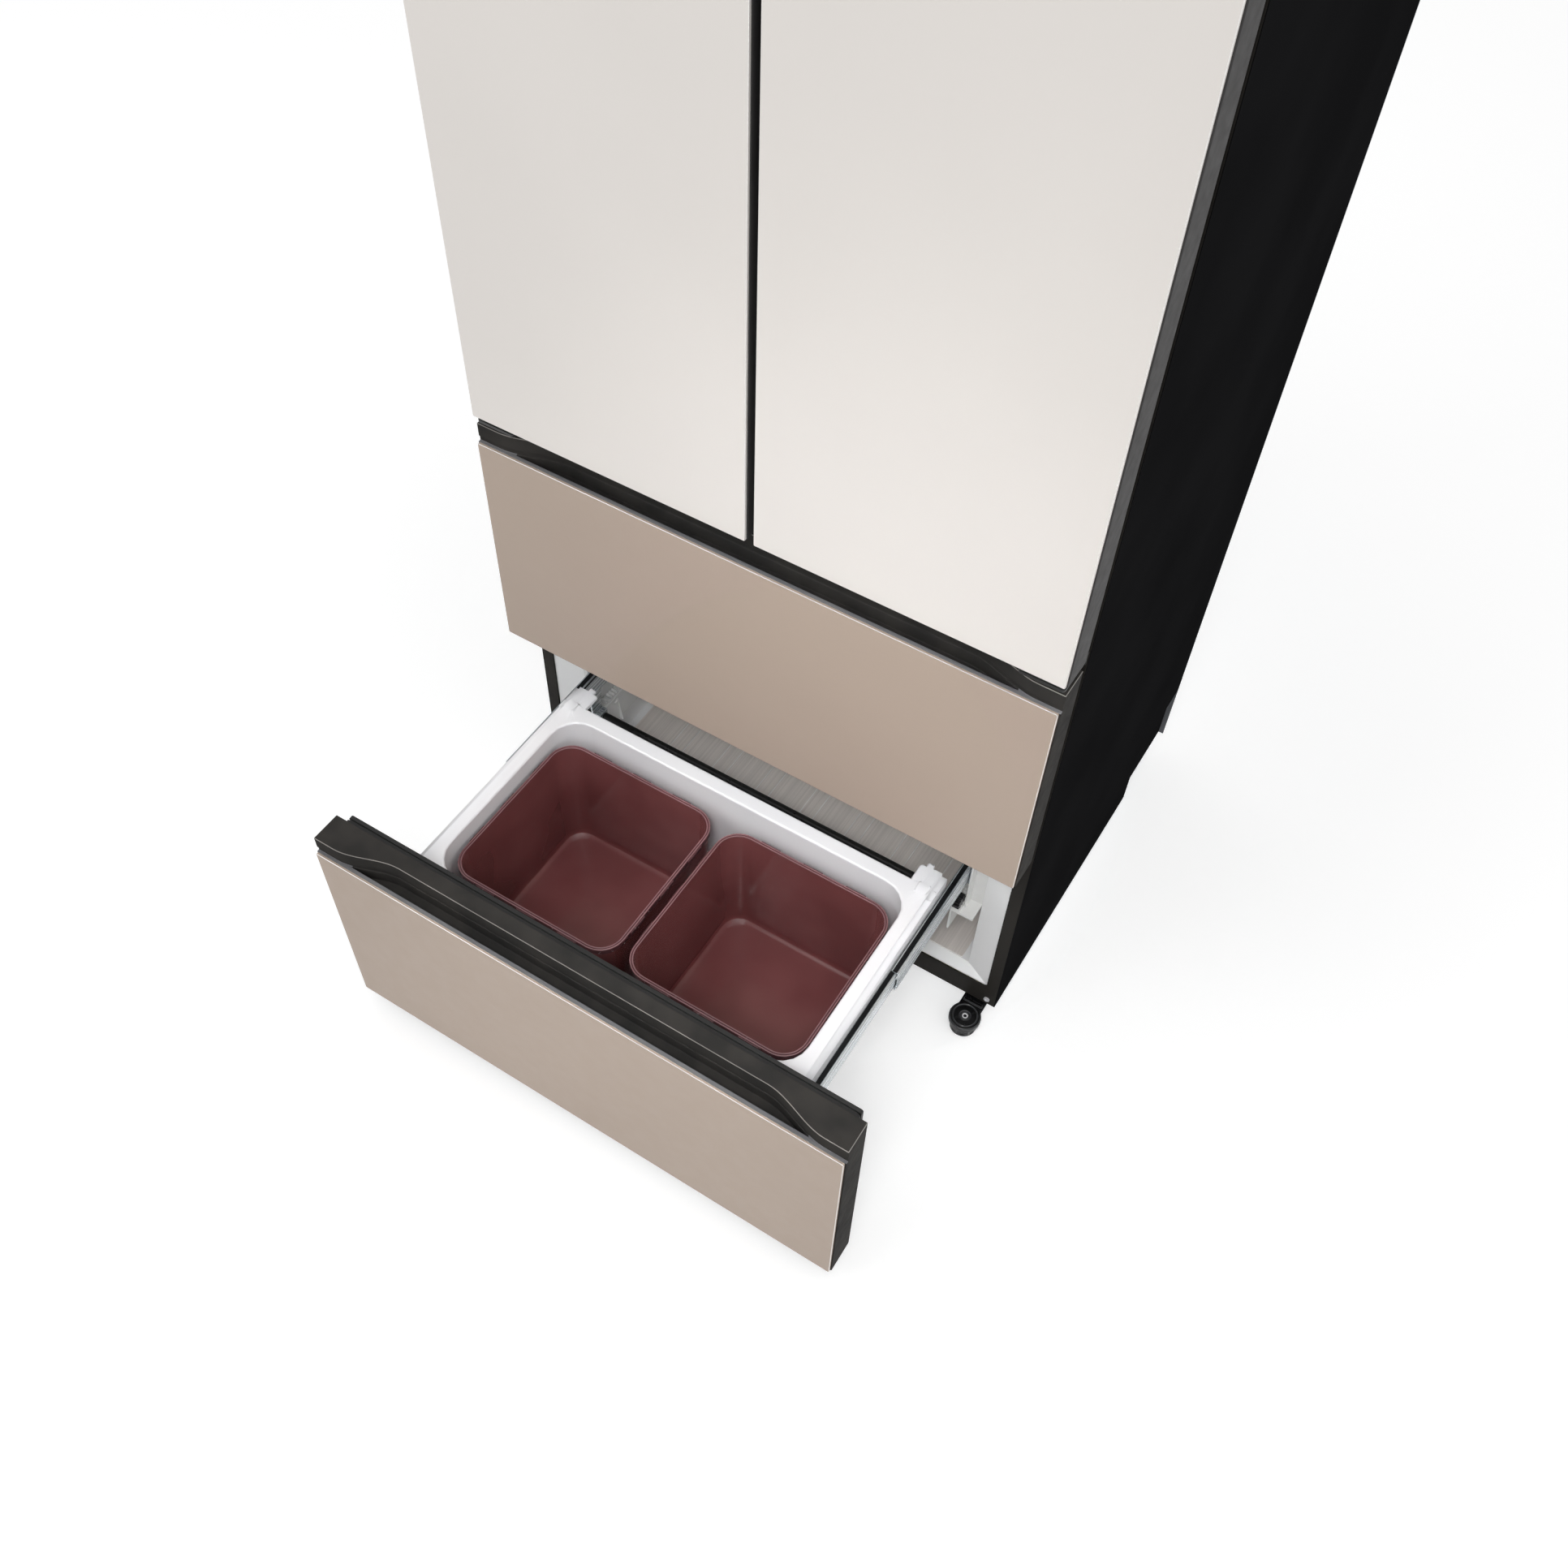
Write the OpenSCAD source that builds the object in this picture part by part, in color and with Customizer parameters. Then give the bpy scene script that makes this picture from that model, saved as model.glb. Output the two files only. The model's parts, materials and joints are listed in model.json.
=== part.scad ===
// Four-room kimchi refrigerator: two upper doors and two drawers, the lower one standing open.
// Millimetres, +Z up, front towards -Y. The drawer's rest position is the open one.

/* [Overall] */
// Width across the side panels
cabinet_width = 795; // [740:1:860]
// Floor to the top of the hinge covers
total_height = 1853; // [1750:1:1950]
// Front panels to the back of the machine cover
total_depth = 688; // [660:1:760]
// How far the lower drawer stands open
drawer_open = 411; // [300:1:414]
// Full travel of a drawer
drawer_travel = 414; // [412:1:420]
// Floor to the underside of the cabinet
floor_gap = 34; // [30:1:44]

/* [Doors] */
// Thickness of a door or drawer front without its gasket
door_thickness = 49.5; // [46:0.5:56]
// Thickness of the coloured front panel
panel_thickness = 4; // [3:0.5:6]
// Step from the case's side to the panel's edge
panel_inset = 1.7; // [1:0.1:3]
// Radius of the panel's corners
panel_corner = 2; // [1:0.5:4]
// Gap between the two upper doors
door_gap = 10; // [8:1:14]
// Depth of the gasket between door and cabinet
gasket_depth = 13; // [10:0.5:16]
// Width of the gasket's strip
gasket_width = 16; // [12:1:20]
// Hinge pin's distance in from the cabinet's side
pin_inset = 11.5; // [10:0.5:14]
// Hinge pin's distance behind the front panels
pin_back = 20; // [17:0.5:24]
// Radius of the hinge pins
pin_radius = 5; // [4:0.5:6]

/* [Drawers] */
// Height of the lower drawer's front panel
lower_panel_height = 346; // [330:1:360]
// Height of the middle drawer's front panel
middle_panel_height = 341; // [330:1:360]
// Handle cap's top above the panel's top edge
cap_rise = 27; // [24:1:32]
// Height of the small step under the handle cap's front band
cap_step = 7.5; // [5:0.5:10]
// Gap between a handle cap and the panel above it
drawer_gap = 20; // [16:1:24]
// Gap between the middle drawer's cap and the upper doors
upper_gap = 16; // [15:1:20]
// Front edge of the handle cap behind the panel, at its ends
cap_front = 6; // [5:0.5:8]
// Front edge of the handle cap behind the panel, in the middle
grip_back = 28; // [24:0.5:32]
// Width of the ledge in front of the finger pocket
ledge_width = 9; // [8:0.5:11]
// Depth of the finger pocket below the panel's top edge
pocket_depth = 17; // [12:1:24]
// Length of each S-curve of the handle cap
curve_length = 90; // [70:1:110]
// Distance from the side to where the S-curve starts
curve_start = 32; // [24:1:40]

/* [Cabinet] */
// Wall thickness of the outer steel shell
shell_wall = 1.2; // [0.8:0.1:2]
// Wall thickness of the room liners
liner_wall = 2; // [1.5:0.1:3]
// Width of the dark front frame at the sides
frame_strip = 19.5; // [17:0.5:24]
// Thickness of the front frame
frame_thickness = 3; // [2:0.5:4]
// Height of the rails between the rooms
rail_height = 50; // [46:1:56]
// Height of the bottom rail
bottom_rail = 42; // [38:1:48]
// Width of the post between the upper rooms
post_width = 60; // [56:1:70]
// Thickness of the insulated side walls
side_wall = 59.5; // [57:0.5:62]
// Thickness of the insulated back wall
back_wall = 80; // [70:1:90]
// Depth of the flared mouth of each room
mouth_depth = 16; // [14:1:24]
// Floor height of the lower room above the bottom rail
floor_rise = 9; // [7:1:14]
// Height of the machine room above the floor
machine_top = 177; // [170:1:184]
// Front of the machine room behind the front panels
machine_front = 452; // [446:1:462]

/* [Trays and bins] */
// Top of a tray below the panel's top edge
tray_drop = 27; // [22:1:34]
// Space beside a tray for its slides and rack
slide_space = 44; // [43:1:50]
// Width of a tray's side flange
tray_flange = 17; // [15:1:18]
// Length of a tray's rim from front to back
tray_length = 338.5; // [330:0.5:344]
// Depth of a tray
tray_depth = 225; // [200:1:232]
// Wall thickness of a tray
tray_wall = 3; // [2:0.5:4]
// Corner radius of a tray's opening
tray_corner = 40; // [30:1:50]
// Gap between a bin's rim and the tray's opening
bin_gap = 5; // [4:1:12]
// Depth of one bin over its rim
bin_length = 265; // [240:1:275]
// Rim of a bin below the panel's top edge
bin_drop = 52; // [46:1:70]
// Wall thickness of a bin
bin_wall = 2.5; // [2:0.5:4]
// Corner radius of a bin's rim
bin_corner = 38; // [28:1:46]

/* [Slides and rack] */
// Top of the innermost slide member below the panel's top edge
slide_drop = 57; // [54:1:62]
// Sheet thickness of the slide members
slide_sheet = 1.6; // [1.2:0.1:2]
// Length of the slide members
slide_length = 430; // [426:1:440]
// Axis of the pinion shaft below the panel's top edge
shaft_drop = 129; // [126:1:134]
// Radius of the steel pinion shaft
shaft_radius = 4; // [3:0.5:5]
// Teeth on each pinion
pinion_teeth = 10; // [10:1:10]
// Tooth module of pinion and rack
tooth_module = 2; // [1.9:0.1:2.1]

/* [Feet] */
// Radius of the round cap over a front foot
foot_radius = 24; // [20:1:28]
// Foot axis in from the cabinet's side
foot_inset = 31; // [29:1:36]
// Foot axis behind the front panels
foot_back = 31; // [28:1:36]
// Radius of a rear roller
roller_radius = 17; // [14:0.5:18]

/* [Hidden] */
// Small overlap for clean cuts
cut = 1;
// Radial clearance of a pin or shaft that turns in its bore
running = 0.05;
// Gap beside a part that slides past another
sliding = 0.1;
half = cabinet_width / 2;
front_y = -(total_depth - drawer_open) / 2;
frame_y = door_thickness + gasket_depth;
mouth_y = frame_y + frame_thickness;
back_y = total_depth - 5;
cabinet_top = total_height - 25;
open_half = half - frame_strip;
room_half = half - side_wall;
room_back = back_y - back_wall;
lower_bottom = floor_gap + 7;
lower_top = lower_bottom + lower_panel_height;
middle_bottom = lower_top + cap_rise + drawer_gap;
middle_top = middle_bottom + middle_panel_height;
upper_bottom = middle_top + cap_rise + upper_gap;
upper_top = cabinet_top + 5;
rail_1 = middle_bottom - drawer_gap / 2;
rail_2 = upper_bottom - upper_gap / 2;
lower_open = [floor_gap + bottom_rail, rail_1 - rail_height / 2];
middle_open = [rail_1 + rail_height / 2, rail_2 - rail_height / 2];
upper_open = [rail_2 + rail_height / 2, cabinet_top - 20];
lower_room = [lower_open[0] + floor_rise, lower_open[1] - 14];
middle_room = [middle_open[0] + 16, middle_open[1] - 14];
upper_room = [upper_open[0] + 20, upper_open[1] - 28];
hump_top = machine_top + 45;
hump_front = machine_front - 42;
seal_over = 10;
seal_half = open_half + 7;
post_half = post_width / 2;
upper_wall = post_half + 15;
tray_half = room_half - slide_space;
tray_inner = tray_half - tray_flange;
case_wall = 3;
pin_x = half - pin_inset;
hinge_block = [28, 36];

// Points of a circular arc
function arc(cx, cy, r, a, b, n) =
    [for (i = [0 : n]) [cx + r * cos(a + (b - a) * i / n), cy + r * sin(a + (b - a) * i / n)]];

// Points of a rectangle with rounded corners
function rounded(x0, y0, x1, y1, r, n = 5) = concat(
    arc(x1 - r, y1 - r, r, 0, 90, n),
    arc(x0 + r, y1 - r, r, 90, 180, n),
    arc(x0 + r, y0 + r, r, 180, 270, n),
    arc(x1 - r, y0 + r, r, 270, 360, n));

// Box between two corners
module box(a, b) {
    translate(a)
        cube(b - a);
}

// Upright prism with rounded corners
module slab(x0, x1, y0, y1, z0, z1, r) {
    translate([0, 0, z0])
        linear_extrude(z1 - z0)
            polygon(rounded(x0, y0, x1, y1, r));
}

// Plate facing the front, with rounded corners
module face(x0, x1, z0, z1, y0, y1, r) {
    translate([0, y1, 0])
        rotate([90, 0, 0])
            linear_extrude(y1 - y0)
                polygon(rounded(x0, z0, x1, z1, r));
}

// Prism whose outline is drawn in the YZ plane
module side_prism(x0, x1, points) {
    translate([x0, 0, 0])
        rotate([90, 0, 90])
            linear_extrude(x1 - x0)
                polygon(points);
}

// Prism whose outline is drawn in the XZ plane
module front_prism(y0, y1, points) {
    translate([0, y1, 0])
        rotate([90, 0, 0])
            linear_extrude(y1 - y0)
                polygon(points);
}

// Cylinder along X
module rod_x(x0, x1, y, z, r, n = 48) {
    translate([x0, y, z])
        rotate([0, 90, 0])
            cylinder(h = x1 - x0, r = r, $fn = n);
}

// Cylinder along Z
module rod_z(x, y, z0, z1, r, n = 48) {
    translate([x, y, z0])
        cylinder(h = z1 - z0, r = r, $fn = n);
}

// The same shape on both sides
module both_sides() {
    children();
    mirror([1, 0, 0])
        children();
}

// Moves the model's cabinet coordinates into the shared frame
module placed(open = 0) {
    translate([0, front_y - open, 0])
        children();
}

// ---- rooms ----

// Space of a room, grown outwards by a wall thickness; the mouth flares to the front frame
module room(x0, x1, mx0, mx1, z, mz, back, grow, reach) {
    wide = 1.8 * grow;
    deep = mouth_y + mouth_depth + 0.7 * grow;
    intersection() {
        translate([0, 0, mz[0] - 50])
            linear_extrude(mz[1] - mz[0] + 100)
                polygon([
                    [mx0 - wide, mouth_y - reach], [mx1 + wide, mouth_y - reach],
                    [mx1 + wide, mouth_y], [x1 + grow, deep],
                    [x1 + grow, back + grow], [x0 - grow, back + grow],
                    [x0 - grow, deep], [mx0 - wide, mouth_y]]);
        side_prism(mx0 - 50, mx1 + 50, [
            [mouth_y - reach, mz[0] - grow], [mouth_y, mz[0] - grow],
            [mouth_y + mouth_depth, z[0] - grow], [back + grow, z[0] - grow],
            [back + grow, z[1] + grow], [mouth_y + mouth_depth, z[1] + grow],
            [mouth_y, mz[1] + grow], [mouth_y - reach, mz[1] + grow]]);
    }
}

module upper_space(grow, reach) {
    room(upper_wall, room_half, post_half + liner_wall, open_half - liner_wall,
        upper_room, [upper_open[0] + liner_wall, upper_open[1] - liner_wall],
        room_back, grow, reach);
}

module middle_space(grow, reach) {
    room(-room_half, room_half, liner_wall - open_half, open_half - liner_wall,
        middle_room, [middle_open[0] + liner_wall, middle_open[1] - liner_wall],
        room_back, grow, reach);
}

// The lower room's floor steps up over the machine room
module lower_space(grow, reach) {
    difference() {
        room(-room_half, room_half, liner_wall - open_half, open_half - liner_wall,
            lower_room, [lower_open[0] + liner_wall, lower_open[1] - liner_wall],
            room_back, grow, reach);
        box([-half, hump_front + grow, 0], [half, back_y, hump_top - grow]);
    }
}

// ---- cabinet ----

recess_y = back_y - 161;
recess_z = floor_gap + 114;
recess_in = 9;

module shell_side() {
    box([half - shell_wall, frame_y, recess_z], [half, back_y - 2, cabinet_top]);
    box([half - shell_wall, frame_y, floor_gap], [half, recess_y, recess_z]);
    box([half - recess_in, recess_y - shell_wall, recess_z],
        [half, back_y - 2, recess_z + shell_wall]);
    box([half - recess_in, recess_y - shell_wall, floor_gap], [half, recess_y, recess_z]);
    box([half - recess_in, recess_y, floor_gap],
        [half - recess_in + shell_wall, back_y - 2, recess_z]);
}

module cabinet_shell() {
    color([0.11, 0.11, 0.115])
        placed() {
            both_sides()
                shell_side();
            box([shell_wall - half, frame_y, cabinet_top - shell_wall],
                [half - shell_wall, back_y - 2, cabinet_top]);
        }
}

module back_panel() {
    color([0.5, 0.51, 0.53])
        placed()
            box([-half, back_y - 2, machine_top], [half, back_y, cabinet_top]);
}

module base_pan() {
    color([0.35, 0.36, 0.38])
        placed()
            difference() {
                union() {
                    box([shell_wall - half, mouth_y, floor_gap],
                        [half - shell_wall, machine_front, floor_gap + 2]);
                    box([recess_in - half, machine_front - cut, floor_gap],
                        [half - recess_in, back_y - 2, floor_gap + 2]);
                    box([shell_wall - half, machine_front - 2, floor_gap],
                        [half - shell_wall, machine_front, machine_top]);
                    box([shell_wall - half, machine_front - 2, machine_top - 2],
                        [half - shell_wall, back_y - 2, machine_top]);
                    both_sides()
                        roller_fork();
                }
                both_sides()
                    box([roller_x - 9, roller_y - roller_radius - 3, floor_gap - cut],
                        [roller_x + 9, roller_y + roller_radius + 3, floor_gap + 3]);
            }
}

module cabinet_foam() {
    color([0.93, 0.88, 0.66])
        placed()
            difference() {
                box([shell_wall - half, mouth_y, floor_gap + 2],
                    [half - shell_wall, back_y - 2, cabinet_top - shell_wall]);
                box([-half, machine_front - 2, 0], [half, back_y, machine_top]);
                both_sides()
                    upper_space(liner_wall, cut);
                middle_space(liner_wall, cut);
                lower_space(liner_wall, cut);
            }
}

shelf_z = [for (i = [1 : 3]) upper_room[0] + (upper_room[1] - upper_room[0]) * i / 4];
shelf_front = frame_y + 98;
shelf_rib = 8;

module shelf_ribs() {
    for (z = shelf_z) {
        box([upper_wall - cut, shelf_front, z - 8], [upper_wall + shelf_rib, room_back + cut, z]);
        box([room_half - shelf_rib, shelf_front, z - 8], [room_half + cut, room_back + cut, z]);
    }
}

module upper_liner() {
    difference() {
        upper_space(liner_wall, 0);
        upper_space(0, cut);
    }
    shelf_ribs();
}

module upper_right_liner() {
    color([0.93, 0.94, 0.95])
        placed()
            upper_liner();
}

module upper_left_liner() {
    color([0.93, 0.94, 0.95])
        placed()
            mirror([1, 0, 0])
                upper_liner();
}

module middle_liner() {
    color([0.93, 0.94, 0.95])
        placed()
            difference() {
                middle_space(liner_wall, 0);
                middle_space(0, cut);
            }
}

module lower_liner() {
    color([0.93, 0.94, 0.95])
        placed()
            difference() {
                lower_space(liner_wall, 0);
                lower_space(0, cut);
            }
}

screw_x = half - 14;
screw_z = floor_gap + 13;
screw_radius = 2;

module front_frame() {
    color([0.2, 0.19, 0.18])
        placed()
            difference() {
                face(shell_wall - half, half - shell_wall, floor_gap, cabinet_top - shell_wall,
                    frame_y, mouth_y, 0.5);
                face(-open_half, open_half, lower_open[0], lower_open[1],
                    frame_y - cut, mouth_y + cut, 6);
                face(-open_half, open_half, middle_open[0], middle_open[1],
                    frame_y - cut, mouth_y + cut, 6);
                both_sides() {
                    face(post_half, open_half, upper_open[0], upper_open[1],
                        frame_y - cut, mouth_y + cut, 6);
                    translate([screw_x, mouth_y + cut, screw_z])
                        rotate([90, 0, 0])
                            cylinder(h = frame_thickness + 2 * cut,
                                r = screw_radius + running, $fn = 32);
                }
            }
}

plate_half = room_half - 12;

// Brushed steel floor with shallow pressed channels
module lower_floor_plate() {
    color([0.6, 0.59, 0.58])
        placed()
            difference() {
                box([-plate_half, mouth_y + mouth_depth + 2, lower_room[0]],
                    [plate_half, hump_front - 4, lower_room[0] + 1.5]);
                for (i = [-3 : 3])
                    for (x = [i * plate_half / 4 - 12, i * plate_half / 4 + 12])
                        box([x - 0.7, mouth_y + mouth_depth, lower_room[0] + 0.9],
                            [x + 0.7, hump_front, lower_room[0] + 3]);
            }
}

module shelf(z) {
    slab(upper_wall + 1, room_half - 1, shelf_front, room_back - 20, z, z + 4, 3);
    box([upper_wall + 1, shelf_front - 4, z], [room_half - 1, shelf_front + 2, z + 14]);
    box([upper_wall + 1, room_back - 22, z], [room_half - 1, room_back - 18, z + 18]);
}

module upper_shelves() {
    color([0.75, 0.88, 0.9, 0.6])
        placed()
            both_sides()
                for (z = shelf_z)
                    shelf(z);
}

// ---- hinges ----

arm_z = upper_top + 2;

module top_hinge() {
    difference() {
        union() {
            slab(pin_x - 32, pin_x + 8, frame_y + 14, frame_y + 114, cabinet_top, arm_z + 4, 4);
            slab(pin_x - 10, pin_x + 8, pin_back - 10, frame_y + 40, arm_z, arm_z + 4, 4);
        }
        box([pin_x - 24, frame_y + 50, cabinet_top + 3], [pin_x, frame_y + 106, arm_z + 5]);
    }
    rod_z(pin_x, pin_back, upper_top - 18, arm_z + 2, pin_radius);
}

module top_hinges() {
    color([0.6, 0.61, 0.63])
        placed()
            both_sides()
                top_hinge();
}

plate_z = upper_bottom - 12;
hinge_reach = 0.94 * rail_height;

module centre_hinge() {
    slab(pin_x - hinge_reach, pin_x + 9, pin_back - 15, frame_y, plate_z, plate_z + 4, 4);
    box([pin_x - hinge_reach, frame_y - 3, plate_z - 6], [pin_x + 9, frame_y, plate_z + 14]);
    rod_z(pin_x, pin_back, plate_z + 2, upper_bottom, 9);
    rod_z(pin_x, pin_back, plate_z + 2, upper_bottom + 18, pin_radius);
}

module centre_hinges() {
    color([0.14, 0.14, 0.14])
        placed()
            both_sides()
                centre_hinge();
}

module hinge_cover() {
    difference() {
        union() {
            slab(pin_x - 40, half - 1, frame_y + 2, frame_y + 124, cabinet_top, total_height, 6);
            slab(pin_x - 16, half - 1, pin_back - 16, frame_y + 20, upper_top + 1,
                total_height, 6);
        }
        box([pin_x - 36, frame_y + 10, 0], [half - 2.4, frame_y + 118, total_height - 3]);
        box([pin_x - 12, pin_back - 12, 0], [half - 2.4, frame_y + 20, total_height - 3]);
    }
}

module hinge_covers() {
    color([0.16, 0.16, 0.17])
        placed()
            both_sides()
                hinge_cover();
}

// ---- upper doors, drawn for the right side ----

grip_margin = 30;
grip_front = 13;
grip_height = 14;

module door_panel() {
    face(door_gap / 2 + 0.7, half - panel_inset, upper_bottom, upper_top,
        0, panel_thickness, panel_corner);
}

// Finger recess in a door's underside, grown by the thickness of its walls
module door_grip(grow) {
    box([door_gap / 2 + grip_margin - grow, grip_front - grow, upper_bottom - cut],
        [half - 3 * grip_margin + grow, grip_front + 20 + grow, upper_bottom + grip_height + grow]);
}

module door_cavity() {
    difference() {
        box([door_gap / 2 + case_wall, panel_thickness, upper_bottom + case_wall],
            [half - case_wall, door_thickness - 2, upper_top - case_wall]);
        door_grip(case_wall);
        hinge_corner(upper_bottom, upper_bottom + hinge_block[1]);
        hinge_corner(upper_top - hinge_block[1], upper_top);
    }
}

module hinge_corner(z0, z1) {
    box([half - hinge_block[0], 0, z0], [half, door_thickness, z1]);
}

module door_case() {
    difference() {
        box([door_gap / 2, panel_thickness, upper_bottom], [half, door_thickness, upper_top]);
        door_cavity();
        door_grip(0);
        box([door_gap / 2 + case_wall, door_thickness - 2 - cut, upper_bottom + case_wall],
            [half - hinge_block[0], door_thickness + cut, upper_top - case_wall]);
        rod_z(pin_x, pin_back, upper_bottom - cut, upper_bottom + 19, pin_radius + running);
        rod_z(pin_x, pin_back, upper_top - 19, upper_top + cut, pin_radius + running);
    }
}

dyke_in = upper_wall + 5;
dyke_out = room_half - 9.5;
dyke_low = upper_room[0] + 12;
dyke_high = upper_room[1] - 12;
dyke_deep = door_thickness + 44;
dyke_wide = 24;
bin_low = dyke_low + dyke_wide + 20;
bin_step = (dyke_high - dyke_low) / 3;

module door_liner() {
    box([door_gap / 2 + case_wall, door_thickness - 2, upper_bottom + case_wall],
        [half - hinge_block[0], door_thickness, upper_top - case_wall]);
    difference() {
        face(dyke_in, dyke_out, dyke_low, dyke_high, door_thickness - cut, dyke_deep, 14);
        face(dyke_in + dyke_wide, dyke_out - dyke_wide, dyke_low + dyke_wide,
            dyke_high - dyke_wide, door_thickness, dyke_deep + cut, 8);
    }
    for (i = [0 : 2])
        for (x = [dyke_in + dyke_wide - cut, dyke_out - dyke_wide - 5])
            box([x, door_thickness + 8, bin_low + i * bin_step + 40],
                [x + 5 + cut, dyke_deep - 6, bin_low + i * bin_step + 52]);
}

// A door bin hangs on the two bosses of the door liner
module door_bin(z) {
    x0 = dyke_in + dyke_wide + 6;
    x1 = dyke_out - dyke_wide - 6;
    difference() {
        union() {
            slab(x0, x1, door_thickness, dyke_deep + 30, z, z + 90, 6);
            box([x0 - 5, door_thickness + 6, z + 52], [x1 + 5, dyke_deep - 4, z + 58]);
        }
        slab(x0 + 2.5, x1 - 2.5, door_thickness + 2.5, dyke_deep + 27.5, z + 3, z + 91, 4);
    }
}

module door_bins() {
    for (i = [0 : 2])
        door_bin(bin_low + i * bin_step);
}

module seal(x0, x1, z0, z1) {
    for (s = [[0, 5, 0], [4.5, gasket_depth - 5, 2.5], [gasket_depth - 5.5, gasket_depth, 0]])
        difference() {
            face(x0 + s[2], x1 - s[2], z0 + s[2], z1 - s[2],
                door_thickness + s[0], door_thickness + s[1], 4);
            face(x0 + gasket_width - s[2], x1 - gasket_width + s[2], z0 + gasket_width - s[2],
                z1 - gasket_width + s[2], door_thickness, frame_y + cut, 2);
        }
}

module door_seal() {
    seal(post_half - 16, pin_x - 1, upper_open[0] - seal_over, upper_open[1] + seal_over);
}

module door_foam() {
    door_cavity();
}

module right_door_panel() {
    color([0.91, 0.89, 0.87])
        placed()
            door_panel();
}

module left_door_panel() {
    color([0.91, 0.89, 0.87])
        placed()
            mirror([1, 0, 0])
                door_panel();
}

module right_door_case() {
    color([0.22, 0.22, 0.225])
        placed()
            door_case();
}

module left_door_case() {
    color([0.22, 0.22, 0.225])
        placed()
            mirror([1, 0, 0])
                door_case();
}

module right_door_foam() {
    color([0.93, 0.88, 0.66])
        placed()
            door_foam();
}

module left_door_foam() {
    color([0.93, 0.88, 0.66])
        placed()
            mirror([1, 0, 0])
                door_foam();
}

module right_door_liner() {
    color([0.93, 0.94, 0.95])
        placed()
            door_liner();
}

module left_door_liner() {
    color([0.93, 0.94, 0.95])
        placed()
            mirror([1, 0, 0])
                door_liner();
}

module right_door_bins() {
    color([0.8, 0.9, 0.93, 0.6])
        placed()
            door_bins();
}

module left_door_bins() {
    color([0.8, 0.9, 0.93, 0.6])
        placed()
            mirror([1, 0, 0])
                door_bins();
}

module right_door_gasket() {
    color([0.1, 0.1, 0.1])
        placed()
            door_seal();
}

module left_door_gasket() {
    color([0.1, 0.1, 0.1])
        placed()
            mirror([1, 0, 0])
                door_seal();
}

// ---- drawer fronts ----

// Front edge of the handle cap at a distance from the side, a smooth S-curve
function grip_t(d) = max(0, min(1, (d - curve_start) / curve_length));
function grip_y(d) =
    cap_front + (grip_back - cap_front) * (3 * pow(grip_t(d), 2) - 2 * pow(grip_t(d), 3));
grip_steps = [for (i = [0 : 12]) curve_start + curve_length * i / 12];
function grip_edge(shift) = concat(
    [[-half, cap_front + shift]],
    [for (d = grip_steps) [d - half, grip_y(d) + shift]],
    [for (i = [12 : -1 : 0]) [half - grip_steps[i], grip_y(grip_steps[i]) + shift]],
    [[half, cap_front + shift]]);

module cap_block(z0, z1, shift) {
    translate([0, 0, z0])
        linear_extrude(z1 - z0)
            polygon(concat(grip_edge(shift), [[half, door_thickness], [-half, door_thickness]]));
}

// Space for the fingers between the ledge and the handle cap
module finger_space(top) {
    intersection() {
        translate([0, 0, top - pocket_depth])
            linear_extrude(pocket_depth + cut)
                polygon(concat(grip_edge(0), [[half, -cut], [-half, -cut]]));
        box([-half, ledge_width, top - pocket_depth - cut], [half, door_thickness, top + cut]);
    }
}

module drawer_cavity(bottom, top) {
    box([case_wall - half, panel_thickness, bottom + case_wall],
        [half - case_wall, door_thickness - case_wall, top - pocket_depth - case_wall]);
}

module drawer_case(bottom, top) {
    difference() {
        box([-half, panel_thickness, bottom], [half, door_thickness, top]);
        drawer_cavity(bottom, top);
        finger_space(top);
    }
    cap_block(top - 0.5, top + cap_step, 1.5);
    cap_block(top + cap_step - 0.5, top + cap_rise, 0);
}

module drawer_panel(bottom, top) {
    face(panel_inset - half, half - panel_inset, bottom, top, 0, panel_thickness, panel_corner);
}

module lower_drawer_panel() {
    color([0.7, 0.64, 0.59])
        placed(drawer_open)
            drawer_panel(lower_bottom, lower_top);
}

module middle_drawer_panel() {
    color([0.7, 0.64, 0.59])
        placed()
            drawer_panel(middle_bottom, middle_top);
}

module lower_drawer_case() {
    color([0.22, 0.22, 0.225])
        placed(drawer_open)
            drawer_case(lower_bottom, lower_top);
}

module middle_drawer_case() {
    color([0.22, 0.22, 0.225])
        placed()
            drawer_case(middle_bottom, middle_top);
}

module lower_drawer_foam() {
    color([0.93, 0.88, 0.66])
        placed(drawer_open)
            drawer_cavity(lower_bottom, lower_top);
}

module middle_drawer_foam() {
    color([0.93, 0.88, 0.66])
        placed()
            drawer_cavity(middle_bottom, middle_top);
}

module lower_drawer_gasket() {
    color([0.1, 0.1, 0.1])
        placed(drawer_open)
            seal(-seal_half, seal_half, lower_open[0] - seal_over, lower_open[1] + seal_over);
}

module middle_drawer_gasket() {
    color([0.1, 0.1, 0.1])
        placed()
            seal(-seal_half, seal_half, middle_open[0] - seal_over, middle_open[1] + seal_over);
}

// ---- trays and bins ----

tray_y0 = frame_y + 2;
tray_in0 = frame_y + 18;
tray_y1 = tray_y0 + tray_length;
tray_in1 = tray_y1 - 22;
ear_y = tray_y1 + 28;
ear_in = tray_inner - 15;
side_step = tray_half + 8;
seat_in = side_step - 9;
tray_draft = 6;

// Tapered block with rounded corners, narrower below by the draft
module taper(x0, x1, y0, y1, z0, z1, r, draft) {
    hull() {
        slab(x0, x1, y0, y1, z1 - 0.01, z1, r);
        slab(x0 + draft, x1 - draft, y0 + draft, y1 - draft, z0, z0 + 0.01, r);
    }
}

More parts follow.
